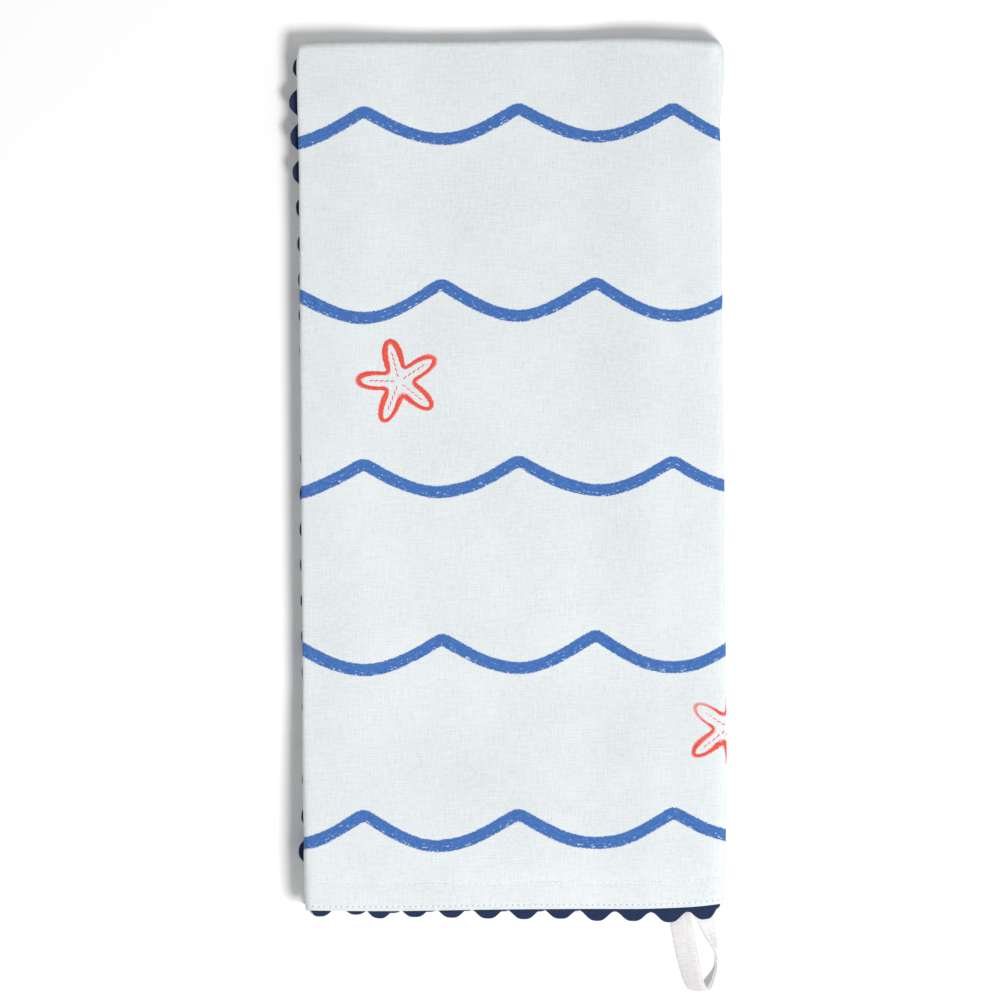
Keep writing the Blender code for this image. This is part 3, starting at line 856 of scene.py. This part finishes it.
def end_course(half, steps):
    """From the free edge of B, round both folds, to the free edge of C."""
    s = {key: float(found) for key, found in section(half, 0.0).items()}
    step = END_PITCH / steps
    arc = np.linspace(0, math.pi, 15)

    def steps_between(start, end):
        return np.linspace(s[start], s[end], int(abs(s[end] - s[start]) / step))

    values = [
        ("B", steps_between("b_edge", "left_centre")[:-1]),
        ("left", arc),
        ("A", steps_between("left_centre", "right_centre")[1:-1]),
        ("right", arc),
        ("C", steps_between("right_centre", "c_edge")[1:]),
    ]
    parts = []
    for panel, value in values:
        from_hump = flat_u(panel, value, s) - MIDDLE_U - END_HUMP_AT[half]

        def point_at(d, out, panel=panel, value=value):
            return place(panel, value, half, d, out)

        parts.append(course(point_at, end_inset(half, panel, value, s), from_hump))
    return [np.concatenate(part) for part in zip(*parts)]


# %% The braid's way along a long edge
def side_course(panel, steps):
    """Along a long edge, over the turn at the top."""
    count = int((RUN - SIDE_START) / (SIDE_PITCH / steps))
    straight = np.linspace(SIDE_START, RUN, count)
    turn = np.linspace(0, math.pi, 17)
    halves = [("front", straight[:-1]), ("turn", turn), ("rear", straight[::-1][1:])]
    edge_key, way = ("b_edge", -1) if panel == "B" else ("c_edge", 1)
    parts = []
    for half, at in halves:
        from_hump = cloth_run(half, at) - SIDE_HUMP_AT
        edge = section(half, at)[edge_key]

        def point_at(d, out, half=half, at=at, edge=edge):
            return place(panel, edge + way * d, half, at, out)

        parts.append(course(point_at, SIDE_INSET + 0 * at, from_hump))
    return [np.concatenate(part) for part in zip(*parts)]


# %% Start and end of a Geometry Nodes tree
def attribute(t, name, kind="FLOAT_VECTOR"):
    return t.node("GeometryNodeInputNamedAttribute", {"Name": name}, data_type=kind).outputs[0]


def new_geometry_tree(name, inputs, material):
    """A tree that takes a geometry, named values and a material."""
    tree = bpy.data.node_groups.new(name, "GeometryNodeTree")
    face = tree.interface
    face.new_socket("Geometry", in_out="INPUT", socket_type="NodeSocketGeometry")
    for label, kind, value in inputs:
        face.new_socket(label, in_out="INPUT", socket_type=kind).default_value = value
    face.new_socket(material, in_out="INPUT", socket_type="NodeSocketMaterial")
    face.new_socket("Geometry", in_out="OUTPUT", socket_type="NodeSocketGeometry")
    t = Tree(tree)
    return t, t.add("NodeGroupInput").outputs


def finished_tree(t, geometry, material):
    """Ends a tree with a real, smooth mesh in its material."""
    real = t.add("GeometryNodeRealizeInstances", geometry)
    smooth = t.add("GeometryNodeSetShadeSmooth", real.outputs[0])
    given = {"Geometry": smooth.outputs[0], "Material": material}
    dressed = t.node("GeometryNodeSetMaterial", given)
    t.add("NodeGroupOutput", dressed.outputs[0])
    return t.tree


# %% Ric-rac tree
def ricrac_tree():
    t, given = new_geometry_tree("ric-rac along a seam", (
        ("Pitch", FLOAT, END_PITCH * MM),
        ("Hump", FLOAT, HUMP * MM),
        ("Valley", FLOAT, VALLEY * MM),
        ("Fullness", FLOAT, FULLNESS),
        ("Thickness", FLOAT, BRAID * MM),
        ("Cords", FLOAT, float(CORDS)),
        ("Points across", "NodeSocketInt", 2 * CORDS * CORD_POINTS + 1),
    ), "Braid")
    count = t.add("GeometryNodeAttributeDomainSize", given["Geometry"]).outputs["Point Count"]
    last = t.minus(count, 1.0)
    across = given["Points across"]
    sides = {"Size X": last, "Size Y": 2.0, "Vertices X": count, "Vertices Y": across}
    grid = t.node("GeometryNodeMeshGrid", sides)
    row, around, _ = t.split(t.add("GeometryNodeInputPosition").outputs[0])
    row = t.math("ROUND", t.plus(row, t.times(last, 0.5)))

    def sampled(value, kind):
        taken = {"Geometry": given["Geometry"], "Value": value, "Index": row}
        return t.node("GeometryNodeSampleIndex", taken, data_type=kind).outputs[0]

    middle = sampled(t.add("GeometryNodeInputPosition").outputs[0], "FLOAT_VECTOR")
    inward = sampled(attribute(t, "inward"), "FLOAT_VECTOR")
    upward = sampled(attribute(t, "upward"), "FLOAT_VECTOR")
    from_hump = sampled(attribute(t, "from_hump", "FLOAT"), "FLOAT")
    turn = t.times(t.math("DIVIDE", from_hump, given["Pitch"]), math.pi)

    def edge(phase):
        sine = t.math("SINE", phase)
        dip = t.math("POWER", t.times(sine, sine), given["Fullness"])
        return t.minus(given["Hump"], t.times(t.minus(given["Hump"], given["Valley"]), dip))

    outer, inner = t.times(edge(turn), -1.0), edge(t.plus(turn, math.pi / 2))
    share = t.minus(1.0, t.math("ABSOLUTE", around))
    from_edge = t.plus(outer, t.times(t.minus(inner, outer), share))
    crest = t.math("ABSOLUTE", t.math("SINE", t.times(t.times(share, given["Cords"]), math.pi)))
    bulge = t.math("POWER", t.math("ABSOLUTE", t.minus(t.times(share, 2.0), 1.0)), 8.0)
    rim = t.math("SQRT", t.math("MAXIMUM", t.minus(1.0, bulge), 0.0))
    ended = t.math("MINIMUM", t.math("MINIMUM", row, t.minus(last, row)), 1.0)
    half = t.times(t.times(given["Thickness"], 0.5), t.plus(t.times(crest, 0.42), 0.58))
    raised = t.times(t.times(half, t.times(rim, ended)), t.math("SIGN", around))
    flat = t.join(from_hump, t.times(t.times(share, given["Cords"]), MM))
    stored = {"Geometry": grid.outputs["Mesh"], "Name": "flat_cloth", "Value": flat}
    named = t.node("GeometryNodeStoreNamedAttribute", stored, data_type="FLOAT2", domain="CORNER")

    def scaled(vector, amount):
        both = {"Vector": vector, "Scale": amount}
        return t.node("ShaderNodeVectorMath", both, operation="SCALE").outputs[0]

    aside = t.add("ShaderNodeVectorMath", scaled(inward, from_edge), scaled(upward, raised))
    spot = t.add("ShaderNodeVectorMath", middle, aside.outputs[0])
    put = {"Geometry": named.outputs[0], "Position": spot.outputs[0]}
    moved = t.node("GeometryNodeSetPosition", put)
    closed = t.add("GeometryNodeMergeByDistance", moved.outputs[0])
    closed.inputs["Distance"].default_value = 1e-6
    return finished_tree(t, closed.outputs[0], given["Braid"])


# %% From a tree to a plain mesh
def grown(name, points, attributes, tree, values):
    """The tree's result on a cloud of points with attributes, as a plain piece."""
    mesh = bpy.data.meshes.new(name)
    mesh.from_pydata(points.tolist(), [], [])
    for label, given in attributes.items():
        kind, key = ("FLOAT_VECTOR", "vector") if given.ndim == 2 else ("FLOAT", "value")
        layer = mesh.attributes.new(label, kind, "POINT")
        layer.data.foreach_set(key, np.ascontiguousarray(given, np.float32).ravel())
    cloud = linked(name + "_points", mesh)
    modifier = cloud.modifiers.new("nodes", "NODES")
    modifier.node_group = tree
    labels = {item.name: item.identifier for item in tree.interface.items_tree
              if item.in_out == "INPUT"}
    for label, value in values.items():
        modifier[labels[label]] = value
    ready = cloud.evaluated_get(bpy.context.evaluated_depsgraph_get())
    plain = bpy.data.meshes.new_from_object(ready)
    plain.name = name
    for label in attributes:
        if label in plain.attributes:
            plain.attributes.remove(plain.attributes[label])
    bpy.data.objects.remove(cloud)
    print("%s: %d points given, %d faces" % (name, len(points), len(plain.polygons)))
    return linked(name, plain)


def face_out(piece):
    """Turns the faces of a closed piece outwards."""
    bm = bmesh.new()
    bm.from_mesh(piece.data)
    bmesh.ops.recalc_face_normals(bm, faces=bm.faces)
    bm.to_mesh(piece.data)
    bm.free()


# %% [markdown]
# ### Braid material
#
# The cords are twisted yarn, so fine slanting lines run over each crest. The
# lines change their slant from one cord to the next, which gives the small
# chevrons of a flat braid. Navy cotton is matt with a faint bloom. Its colour
# is painted lighter on the crests of the cords and plies and darker in the
# grooves between them, as painted highlight and shade, with a random mottle.

# %% Navy braid
# The dark and the light navy are painted shade for the grooves and painted highlight for the crests;
# the middle navy is the yarn's own colour.
NAVY = linear(17, 34, 70)
NAVY_HIGHLIGHT = linear(36, 58, 102)
NAVY_SHADE = linear(6, 14, 40)


def braid_twist_group():
    group, t, given, result = new_group(
        "braid twist",
        [("Flat mm", VECTOR, None), ("Cord", FLOAT, 1.0), ("Twist", FLOAT, 0.62)],
        [("Height", FLOAT), ("Shade", FLOAT)],
    )
    along, across, _ = t.split(given["Flat mm"])
    cord = t.math("DIVIDE", across, given["Cord"])
    zigzag = t.math("PINGPONG", cord, 1.0)
    wander = t.times(t.noise(given["Flat mm"], 0.7, 2.0), 0.8)
    slant = t.plus(t.plus(t.math("DIVIDE", along, given["Twist"]), zigzag), wander)
    plies = t.math("ABSOLUTE", t.math("SINE", t.times(slant, math.pi)))
    fuzz = t.noise(given["Flat mm"], 5.0, 3.0, 0.7)
    crest = t.math("ABSOLUTE", t.math("SINE", t.times(cord, math.pi)))
    t.feed(result["Height"], t.plus(t.times(plies, 0.8), t.times(fuzz, 0.4)))
    # Painted light and shade: the plies and the cord crests are lighter and the grooves darker, mixed
    # with random fuzz.
    wear_and_ply_shade = t.plus(t.times(plies, 0.3), t.times(fuzz, 0.5))
    t.feed(result["Shade"], t.plus(wear_and_ply_shade, t.times(crest, 0.35)))
    return group


braid_twist = braid_twist_group()
print("braid twist: %d nodes" % len(braid_twist.nodes))


def navy_braid():
    material, t, surface = new_material("navy braid")
    flat = flat_mm(t)
    twist = t.group(braid_twist, Flat_mm=flat)
    # Painted shade in the grooves and painted highlight on the crests of the cords.
    base = t.mix(t.smooth(twist["Shade"], 0.3, 0.95), NAVY_SHADE, NAVY_HIGHLIGHT)
    wear_and_ply_shade = t.smooth(t.noise(flat, 0.35, 3.0, 0.6), 0.35, 0.75)
    colour = t.mix(t.times(wear_and_ply_shade, 0.4), base, NAVY)
    rough = t.between(twist["Height"], 0.9, 0.7)
    dress(t, surface, colour, rough, 0.12, twist["Height"], 0.00018, 0.7)
    surface["Sheen Roughness"].default_value = 0.5
    surface["Specular IOR Level"].default_value = FIBRE_GLOSS
    return material


braid_material = navy_braid()

# %% The four strips
ricrac = ricrac_tree()
print("ric-rac tree: %d nodes" % len(ricrac.nodes))


def ricrac_piece(name, node, found, pitch):
    middle, inward, upward, from_hump = found
    attributes = {"inward": inward, "upward": upward, "from_hump": from_hump}
    values = {"Pitch": pitch * MM, "Braid": braid_material}
    piece = grown(name, middle, attributes, ricrac, values)
    face_out(piece)
    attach(piece, "root")
    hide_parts(node)
    return piece


braids = [
    ricrac_piece("ricrac_front", "ricrac_front_end", end_course("front", 24), END_PITCH),
    ricrac_piece("ricrac_rear", "ricrac_rear_end", end_course("rear", 12), END_PITCH),
    ricrac_piece("ricrac_inner", "ricrac_inner_side", side_course("B", 8), SIDE_PITCH),
    ricrac_piece("ricrac_outer", "ricrac_outer_side", side_course("C", 12), SIDE_PITCH),
]

# %% [markdown]
# ## The hanging loop
#
# The loop is a tape folded lengthwise and sewn along one rim. Its two ends lie
# side by side behind the braid. It is drawn by its two rims: nearly the same
# table of rows as the solid, read as smooth curves with more rings. The section
# has rounded rims and a groove along one of them, between its two plies.

# %% Loop rows
LOOP_WIDTH, LOOP_FREE, LOOP_PRESSED = 9.4, 1.6, 0.95  # pressed where it is sewn in
SEAM_Z = 15.29
LoopRow = namedtuple("LoopRow", "low_x low_y low_z high_x high_y high_z")
LOOP_ROWS = [LoopRow(*row) for row in (
    (62.2, -171.4, SEAM_Z, 71.6, -170.4, SEAM_Z),
    (62.6, -177.5, SEAM_Z, 72.0, -176.3, SEAM_Z),
    (64.3, -183.7, 14.5, 73.6, -182.1, 14.8),
    (66.2, -193.5, 11.6, 75.5, -192.2, 13.0),
    (68.3, -201.9, 8.4, 77.0, -201.3, 11.4),
    (70.3, -208.0, 5.4, 78.5, -208.2, 9.8),
    (72.2, -210.6, 2.6, 80.2, -211.0, 8.0),
    (75.4, -210.2, 1.0, 81.9, -210.0, 7.9),
    (79.2, -206.4, 0.9, 83.2, -206.0, 9.5),
    (82.9, -201.3, 0.9, 84.0, -200.9, 10.3),
    (83.4, -195.6, 1.5, 83.3, -195.6, 10.9),
    (83.5, -189.8, 3.6, 79.1, -189.4, 12.0),
    (82.6, -184.7, 6.9, 76.3, -184.1, 13.7),
    (82.6, -181.0, 12.7, 73.9, -180.2, 15.0),
    (81.6, -176.0, SEAM_Z, 72.3, -175.6, SEAM_Z),
    (81.5, -171.3, SEAM_Z, 72.2, -171.0, SEAM_Z),
)]
LOOP_STEPS = 9


def curve_through(points, steps):
    """A smooth curve through points, as an array."""
    padded = np.concatenate([points[:1], points, points[-1:]])
    curve = []
    for k in range(len(points) - 1):
        p0, p1, p2, p3 = padded[k : k + 4]
        t = np.linspace(0, 1, steps, endpoint=False)[:, None]
        bend = (2 * p0 - 5 * p1 + 4 * p2 - p3) * t**2 + (3 * p1 - p0 - 3 * p2 + p3) * t**3
        curve.append(0.5 * (2 * p1 + (p2 - p0) * t + bend))
    return np.concatenate(curve + [points[-1:]])


def unit(vectors):
    return vectors / np.linalg.norm(vectors, axis=-1, keepdims=True)


low_rim = curve_through(np.array([row[:3] for row in LOOP_ROWS]), LOOP_STEPS)
high_rim = curve_through(np.array([row[3:] for row in LOOP_ROWS]), LOOP_STEPS)
loop_middle = (low_rim + high_rim) / 2
loop_wide = unit(high_rim - low_rim)
loop_flat = unit(np.cross(np.gradient(loop_middle, axis=0), loop_wide))
loop_length = np.concatenate([[0], np.cumsum(np.linalg.norm(np.diff(loop_middle, axis=0), axis=1))])
print("loop tape: %.0f mm long" % loop_length[-1])


# %% The folded tape
LOOP_SIDES = 30
RIM_ROUND, FACE_ROUND = 0.32, 0.6  # 1 gives an ellipse, 0 a box
SEAM_AT, SEAM_HALF = 0.8, 0.1  # the groove, in shares of the half width


def tape_loop():
    count = len(loop_middle)
    ends = np.minimum(np.arange(count), count - 1 - np.arange(count)) / LOOP_STEPS
    thick = LOOP_PRESSED + (LOOP_FREE - LOOP_PRESSED) * ease(1.2, 3.0, ends)
    turn = np.linspace(0, 2 * math.pi, LOOP_SIDES, endpoint=False) + 0.01
    across = np.sign(np.cos(turn)) * np.abs(np.cos(turn)) ** RIM_ROUND
    through = np.sign(np.sin(turn)) * np.abs(np.sin(turn)) ** FACE_ROUND
    swell = 1 - 0.12 * np.cos(across * math.pi / 2 * 1.7) ** 2
    seam = 1 - 0.3 * np.exp(-(((across - SEAM_AT) / SEAM_HALF) ** 2))
    wave = 1 + 0.05 * np.sin(loop_length / 2.3)[:, None]
    wide = across[None, :] * LOOP_WIDTH / 2
    deep = through[None, :] * thick[:, None] / 2 * (swell * seam)[None, :] * wave
    rings = loop_middle[:, None] + wide[..., None] * loop_wide[:, None]
    rings = (rings + deep[..., None] * loop_flat[:, None]) * MM
    faces = grid_faces(count, LOOP_SIDES, closed=True)
    faces.append(list(range(LOOP_SIDES)))
    faces.append([(count - 1) * LOOP_SIDES + k for k in reversed(range(LOOP_SIDES))])
    uv = np.stack(np.broadcast_arrays(loop_length[:, None], wide + 0 * deep), axis=-1) * MM
    piece = new_mesh_piece("tape_loop", rings, faces, uv)
    face_out(piece)
    return piece


tape = tape_loop()
print("folded tape: %d faces" % len(tape.data.polygons))

# %% Tape material
TAPE_WHITE = linear(229, 228, 227)
TAPE_SHADE = linear(211, 207, 208)


def cotton_tape():
    material, t, surface = new_material("cotton tape")
    flat = flat_mm(t)
    weave = t.group(plain_weave, Flat_mm=flat, Pitch=0.62, Slub=1.2)
    mottle = t.noise(flat, 0.9, 3.0, 0.7)
    shade = t.plus(t.times(weave["Shade"], 0.8), t.times(mottle, 0.8))
    colour = t.mix(t.smooth(shade, 0.1, 0.7), TAPE_SHADE, TAPE_WHITE)
    rough = t.between(weave["Height"], 0.92, 0.8)
    dress(t, surface, colour, rough, 0.1, weave["Height"], 0.00016, 0.6)
    surface["Specular IOR Level"].default_value = FIBRE_GLOSS
    return material


tape_material = cotton_tape()
print("cotton tape: %d nodes" % len(tape_material.node_tree.nodes))
tape.data.materials.append(tape_material)
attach(tape, "root")
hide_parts("hanging_loop")

# %% [markdown]
# ## Thread
#
# All the sewing is one Geometry Nodes tree. It takes a cloud of points, each
# with a direction along the seam, a direction out of the cloth and a size,
# and puts one short arched thread on each. Random values with a fixed seed
# make the stitches a little uneven. The tree ends in Realize Instances and
# Set Material, and the result is made a plain mesh.


# %% Stitch tree
def stitch_tree():
    t, given = new_geometry_tree("stitches on points", (
        ("Stitch length", FLOAT, 0.0018),
        ("Thread radius", FLOAT, 0.0002),
        ("Arch", FLOAT, 0.0002),
        ("Unevenness", FLOAT, 0.1),
        ("Seed", "NodeSocketInt", 1),
    ), "Thread")
    half = t.times(given["Stitch length"], 0.5)
    ends = t.times(given["Thread radius"], -0.6)
    line = t.node("GeometryNodeCurveQuadraticBezier", {
        "Resolution": 4,
        "Start": t.join(t.times(half, -1.0), 0.0, ends),
        "Middle": t.join(0.0, 0.0, t.times(given["Arch"], 2.0)),
        "End": t.join(half, 0.0, ends),
    })
    round_thread = {"Resolution": 6, "Radius": given["Thread radius"]}
    ring = t.node("GeometryNodeCurvePrimitiveCircle", round_thread)
    thread = t.add("GeometryNodeCurveToMesh", line.outputs["Curve"], ring.outputs["Curve"])
    thread.inputs["Fill Caps"].default_value = True
    aim = "FunctionNodeAlignRotationToVector"
    first = t.node(aim, {"Vector": attribute(t, "along")}, axis="X")
    upright = {"Rotation": first.outputs[0], "Vector": attribute(t, "up")}
    second = t.node(aim, upright, axis="Z", pivot_axis="X")
    low, high = t.minus(1.0, given["Unevenness"]), t.plus(1.0, given["Unevenness"])
    spread = {2: low, 3: high, "Seed": given["Seed"]}
    uneven = t.node("FunctionNodeRandomValue", spread, data_type="FLOAT")
    length = t.times(attribute(t, "size", "FLOAT"), uneven.outputs[1])
    put = t.node("GeometryNodeInstanceOnPoints", {
        "Points": given["Geometry"],
        "Instance": thread.outputs[0],
        "Rotation": second.outputs[0],
        "Scale": t.join(length, 1.0, 1.0),
    })
    return finished_tree(t, put.outputs[0], given["Thread"])


stitches_on_points = stitch_tree()
print("stitch tree: %d nodes" % len(stitches_on_points.nodes))


def sew(name, places, sizes, material, length, radius, arch, uneven, seed):
    """Stitches on points with their directions along and up; lengths in mm."""
    points, along, up = places
    attributes = {"along": along, "up": up, "size": sizes}
    values = {"Stitch length": length * MM, "Thread radius": radius * MM, "Arch": arch * MM}
    values |= {"Unevenness": uneven, "Seed": seed, "Thread": material}
    return grown(name, points, attributes, stitches_on_points, values)


# %% Thread material
def thread_material(name, dark, light, sheen):
    material, t, surface = new_material(name)
    spot = t.add("ShaderNodeTexCoord").outputs["Object"]
    mottle = t.noise(spot, 2600.0, 2.0, 0.6)
    colour = t.mix(t.smooth(mottle, 0.3, 0.7), dark, light)
    dress(t, surface, colour, t.between(mottle, 0.5, 0.7), sheen, mottle, 0.00005, 0.5)
    return material


white_thread = thread_material("white thread", linear(226, 231, 234), linear(250, 252, 252), 0.1)
loop_thread = thread_material("loop thread", linear(226, 223, 221), linear(246, 244, 243), 0.1)
red_thread = thread_material("red thread", linear(214, 58, 46), linear(250, 98, 78), 0.15)
print("threads:", white_thread.name, "and", loop_thread.name, "and", red_thread.name)


# %% [markdown]
# ### Rows along the hems
#
# Each short end has two rows: one holds the hem and one, close to the edge,
# holds the braid. The rows follow the flat cloth, so their points come from
# the same fold as the sheet, on the outer face of the top and bottom panels.


# %% Hem stitches
def outer_points(half, u, v_from_end, out):
    """Points on the outer face of panel A with the directions along and out."""
    x = u - MIDDLE_U
    at = v_from_end + 0 * x
    y_place = run_y(half, "A", at, x, read(FOLD_LINES, "left", cloth_run(half, at)),
                    read(FOLD_LINES, "right", cloth_run(half, at)))
    ridge = hidden_edge_ridge(x, y_place) if half == "front" else 0 * x
    here = place("A", x, half, at, out + ridge)
    ahead = place("A", x + 0.5, half, at, out + ridge)
    above = place("A", x, half, at, out + ridge + 0.5)
    return here, unit(ahead - here), unit(above - here)


ROW_START, ROW_END = 168.5, 335.5
SUNK = {"front": 0.12, "rear": 0.05}  # how deep the rows lie in the hem
for half in ("front", "rear"):
    for label, row, pitch, length in (
        ("edge", EDGE_ROW, STITCH_PITCH, 1.75),
        ("hem", HEM_ROW, HEM_PITCH, 2.0),
    ):
        u = np.arange(math.ceil(ROW_START / pitch), math.floor(ROW_END / pitch)) * pitch
        places = outer_points(half, u, row, HEM_SHEET / 2 - SUNK[half])
        name = "stitches_%s_%s" % (half, label)
        thread = sew(name, places, np.ones(len(u)), white_thread, length, 0.16, 0.12, 0.12, 3)
        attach(thread, "root")

# %% [markdown]
# ### Beads on the loop's rim
#
# The open rim of the tape is closed with small tight stitches. They show as a
# row of beads a little inside the rim, on both faces.


# %% Loop stitches
BEAD_PITCH = 1.25
BEAD_INSET = 1.0


def loop_beads():
    spots = np.arange(2.0, loop_length[-1] - 2.0, BEAD_PITCH)

    def at(values):
        return np.stack([np.interp(spots, loop_length, values[:, k]) for k in range(3)], axis=1)

    middle, wide, flat = at(loop_middle), unit(at(loop_wide)), unit(at(loop_flat))
    along = unit(np.gradient(middle, axis=0))
    ends = np.minimum(spots, loop_length[-1] - spots)
    deep = (LOOP_PRESSED + (LOOP_FREE - LOOP_PRESSED) * ease(7.0, 18.0, ends)) / 2 * 0.86
    rim = middle + wide * (LOOP_WIDTH / 2 - BEAD_INSET)
    rows = [rim + flat * (side * deep)[:, None] for side in (1, -1)]
    both = ([along, along], [flat, -flat])
    return (np.concatenate(rows) * MM, *(np.concatenate(pair) for pair in both))


bead_places = loop_beads()
bead_sizes = np.random.default_rng(5).uniform(0.8, 1.15, len(bead_places[0]))
beads = sew("loop_stitches", bead_places, bead_sizes, loop_thread, 0.95, 0.25, 0.16, 0.12, 8)
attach(beads, "root")

# %% [markdown]
# ## Embroidered starfish
#
# Between the lines sits a small red starfish in satin stitch, in a half-drop
# repeat. Its outline is a formula in polar form: five soft arms. Threads lie
# side by side across the outline, and a line of short stitches runs down each
# arm. They are real threads on the cloth, so the motif stands a little proud.

# %% Starfish stitches
STAR_SIZE = 17.0  # tip of an arm from the middle
STAR_BAND = 2.3
STAR_COLUMNS = (205.0, 340.0)
STAR_ROWS = ((216.0, 504.0), (72.0, 648.0))
THREAD_STEP = 0.36


def star_radius(angle):
    """Outline of the starfish: five rounded arms."""
    arm = (0.5 + 0.5 * np.cos(5 * angle)) ** 1.5
    return STAR_SIZE * (0.36 + 0.64 * arm)


def star_outline():
    """Evenly spaced points of the outline with the direction across it."""
    angle = np.linspace(0, 2 * math.pi, 2400, endpoint=False)
    radius = star_radius(angle)
    line = np.stack([radius * np.sin(angle), radius * np.cos(angle)], axis=1)
    step = np.linalg.norm(np.roll(line, -1, axis=0) - line, axis=1)
    length = np.concatenate([[0], np.cumsum(step)])[:-1]
    spots = np.arange(0, step.sum(), THREAD_STEP)
    even = np.stack([np.interp(spots, length, line[:, k]) for k in (0, 1)], axis=1)
    tangent = unit(np.roll(even, -1, axis=0) - np.roll(even, 1, axis=0))
    return even, np.stack([-tangent[:, 1], tangent[:, 0]], axis=1)


def star_seeds():
    """Short stitches down the middle of each arm."""
    angle = np.arange(5) * 2 * math.pi / 5
    ways = np.repeat(np.stack([np.sin(angle), np.cos(angle)], axis=1), 5, axis=0)
    return ways * np.tile([2.8, 5.0, 7.2, 9.4, 11.4], 5)[:, None], ways


def rotation(angle):
    return np.array([[math.cos(angle), -math.sin(angle)], [math.sin(angle), math.cos(angle)]])


print("starfish: %d threads and %d seeds" % (len(star_outline()[0]), len(star_seeds()[0])))


# %% Starfish on the folded cloth
def star_on_cloth(half, u, v, tilt, generator):
    """All threads of one starfish on the cloth: places, directions and sizes."""
    outline, across = star_outline()
    seeds, seed_way = star_seeds()
    flat = np.concatenate([outline, seeds])
    way = np.concatenate([across, seed_way])
    band = STAR_BAND * (0.82 + 0.2 * np.sin(np.arange(len(outline)) * 0.11))
    band = band * generator.uniform(0.86, 1.12, len(outline))
    sizes = np.concatenate([band, np.full(len(seeds), 1.6)])
    turn, lean = rotation(tilt), rotation(math.radians(16))
    flat, way = flat @ turn.T, way @ lean.T @ turn.T
    return on_folded_cloth(u + flat[:, 0], v + flat[:, 1], way, half) + (sizes,)


def on_folded_cloth(u, v, way, half):
    """Places on the outer face, which turn round the right fold, and directions."""
    at = v if half == "front" else CLOTH_LENGTH - v
    s = section(half, at)
    edge = s["right_centre"] + MIDDLE_U

    def spot(du, dv, out):
        here_u, here_at = u + du, at + (dv if half == "front" else -dv)
        x = np.minimum(here_u, edge) - MIDDLE_U
        y = run_y(half, "A", here_at, x, s["left"], s["right"])
        ridge = hidden_edge_ridge(x, y) if half == "front" else 0
        on_top = place("A", x, half, here_at, out + ridge)
        angle = np.clip((here_u - edge) / s["right_radius"], 0, math.pi)
        round_it = place("right", angle, half, here_at, out)
        under_x = s["right_centre"] - (here_u - edge - math.pi * s["right_radius"])
        below = place("C", np.minimum(under_x, s["right_centre"]), half, here_at, out)
        past = (here_u > edge)[:, None]
        deep = (here_u > edge + math.pi * s["right_radius"])[:, None]
        return np.where(deep, below, np.where(past, round_it, on_top))

    lift = SHEET / 2 + 0.04
    here = spot(0, 0, lift)
    ahead = spot(way[:, 0] * 0.4, way[:, 1] * 0.4, lift)
    return here, unit(ahead - here), unit(spot(0, 0, lift + 0.4) - here)


# %% The four starfish
star_rng = np.random.default_rng(11)
kept = [[], [], [], []]
for column, rows in zip(STAR_COLUMNS, STAR_ROWS):
    for v in rows:
        half = "front" if v < RUN else "rear"
        tilt = math.radians(14 if column < MIDDLE_U else -20)
        for part, found in zip(kept, star_on_cloth(half, column, v, tilt, star_rng)):
            part.append(found)
*star_places, star_sizes = (np.concatenate(part) for part in kept)
stars = sew("starfish_embroidery", star_places, star_sizes, red_thread, 1.0, 0.2, 0.1, 0.05, 4)
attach(stars, "root")

# %% [markdown]
# ## Floor, light and camera
#
# The towel lies on a plain pale floor. One large soft light stands on the
# right and in front, so the folds at the left and the top throw a short soft
# shade, and a pale sky fills the rest. The camera looks straight down with
# parallel rays, square on to the folded face.

# %% Floor
FLOOR_DROP = 0.0003


def pale_floor():
    bpy.ops.mesh.primitive_plane_add(size=6.0, location=(0, 0, -FLOOR_DROP))
    floor = bpy.context.active_object
    floor.name = "floor"
    material, t, surface = new_material("pale floor")
    spot = t.add("ShaderNodeTexCoord").outputs["Object"]
    pale, paler = linear(254, 254, 254), linear(255, 255, 255)
    t.feed(surface["Base Color"], t.mix(t.noise(spot, 3.0), pale, paler))
    surface["Roughness"].default_value = 0.9
    floor.data.materials.append(material)
    return floor


print("floor: %.1f mm under the towel" % (-pale_floor().location.z / MM))


# %% Light and sky
KEY_PLACE, KEY_SIZE, KEY_POWER = Vector((0.81, -0.81, 1.72)), 0.78, 36.1
SKY_STRENGTH = 0.43


def key_light():
    lamp = bpy.data.lights.new("key light", "AREA")
    lamp.shape = "DISK"
    lamp.size = KEY_SIZE
    lamp.energy = KEY_POWER
    holder = linked("key light", lamp)
    holder.location = KEY_PLACE
    holder.rotation_euler = (-KEY_PLACE).to_track_quat("-Z", "Y").to_euler()
    return holder


key = key_light()
print("key light: %.1f W, %.2f m away" % (KEY_POWER, KEY_PLACE.length))
# The small loop would throw a hard shadow on the floor, so the key light ignores it there.
open_loop = bpy.data.collections.new("no key shadow")
for thing in (tape, beads):
    open_loop.objects.link(thing)
key.light_linking.blocker_collection = open_loop
for entry in open_loop.collection_objects:
    entry.light_linking.link_state = "EXCLUDE"
world = bpy.data.worlds.new("pale sky")
bpy.context.scene.world = world
world.use_nodes = True
sky = world.node_tree.nodes["Background"].inputs
sky["Color"].default_value = (1.0, 1.0, 1.0, 1.0)
sky["Strength"].default_value = SKY_STRENGTH

# %% Camera
VIEW_WIDTH = 0.41328
VIEW_CENTRE = (-0.0035, -0.0119)


def straight_down():
    camera = bpy.data.cameras.new("camera")
    camera.type = "ORTHO"
    camera.ortho_scale = VIEW_WIDTH
    camera.clip_end = 10.0
    holder = linked("camera", camera)
    holder.location = (*VIEW_CENTRE, 1.2)
    bpy.context.scene.camera = holder


straight_down()
print("view: %.0f mm wide" % (VIEW_WIDTH / MM))
bpy.context.scene.view_settings.view_transform = "Standard"
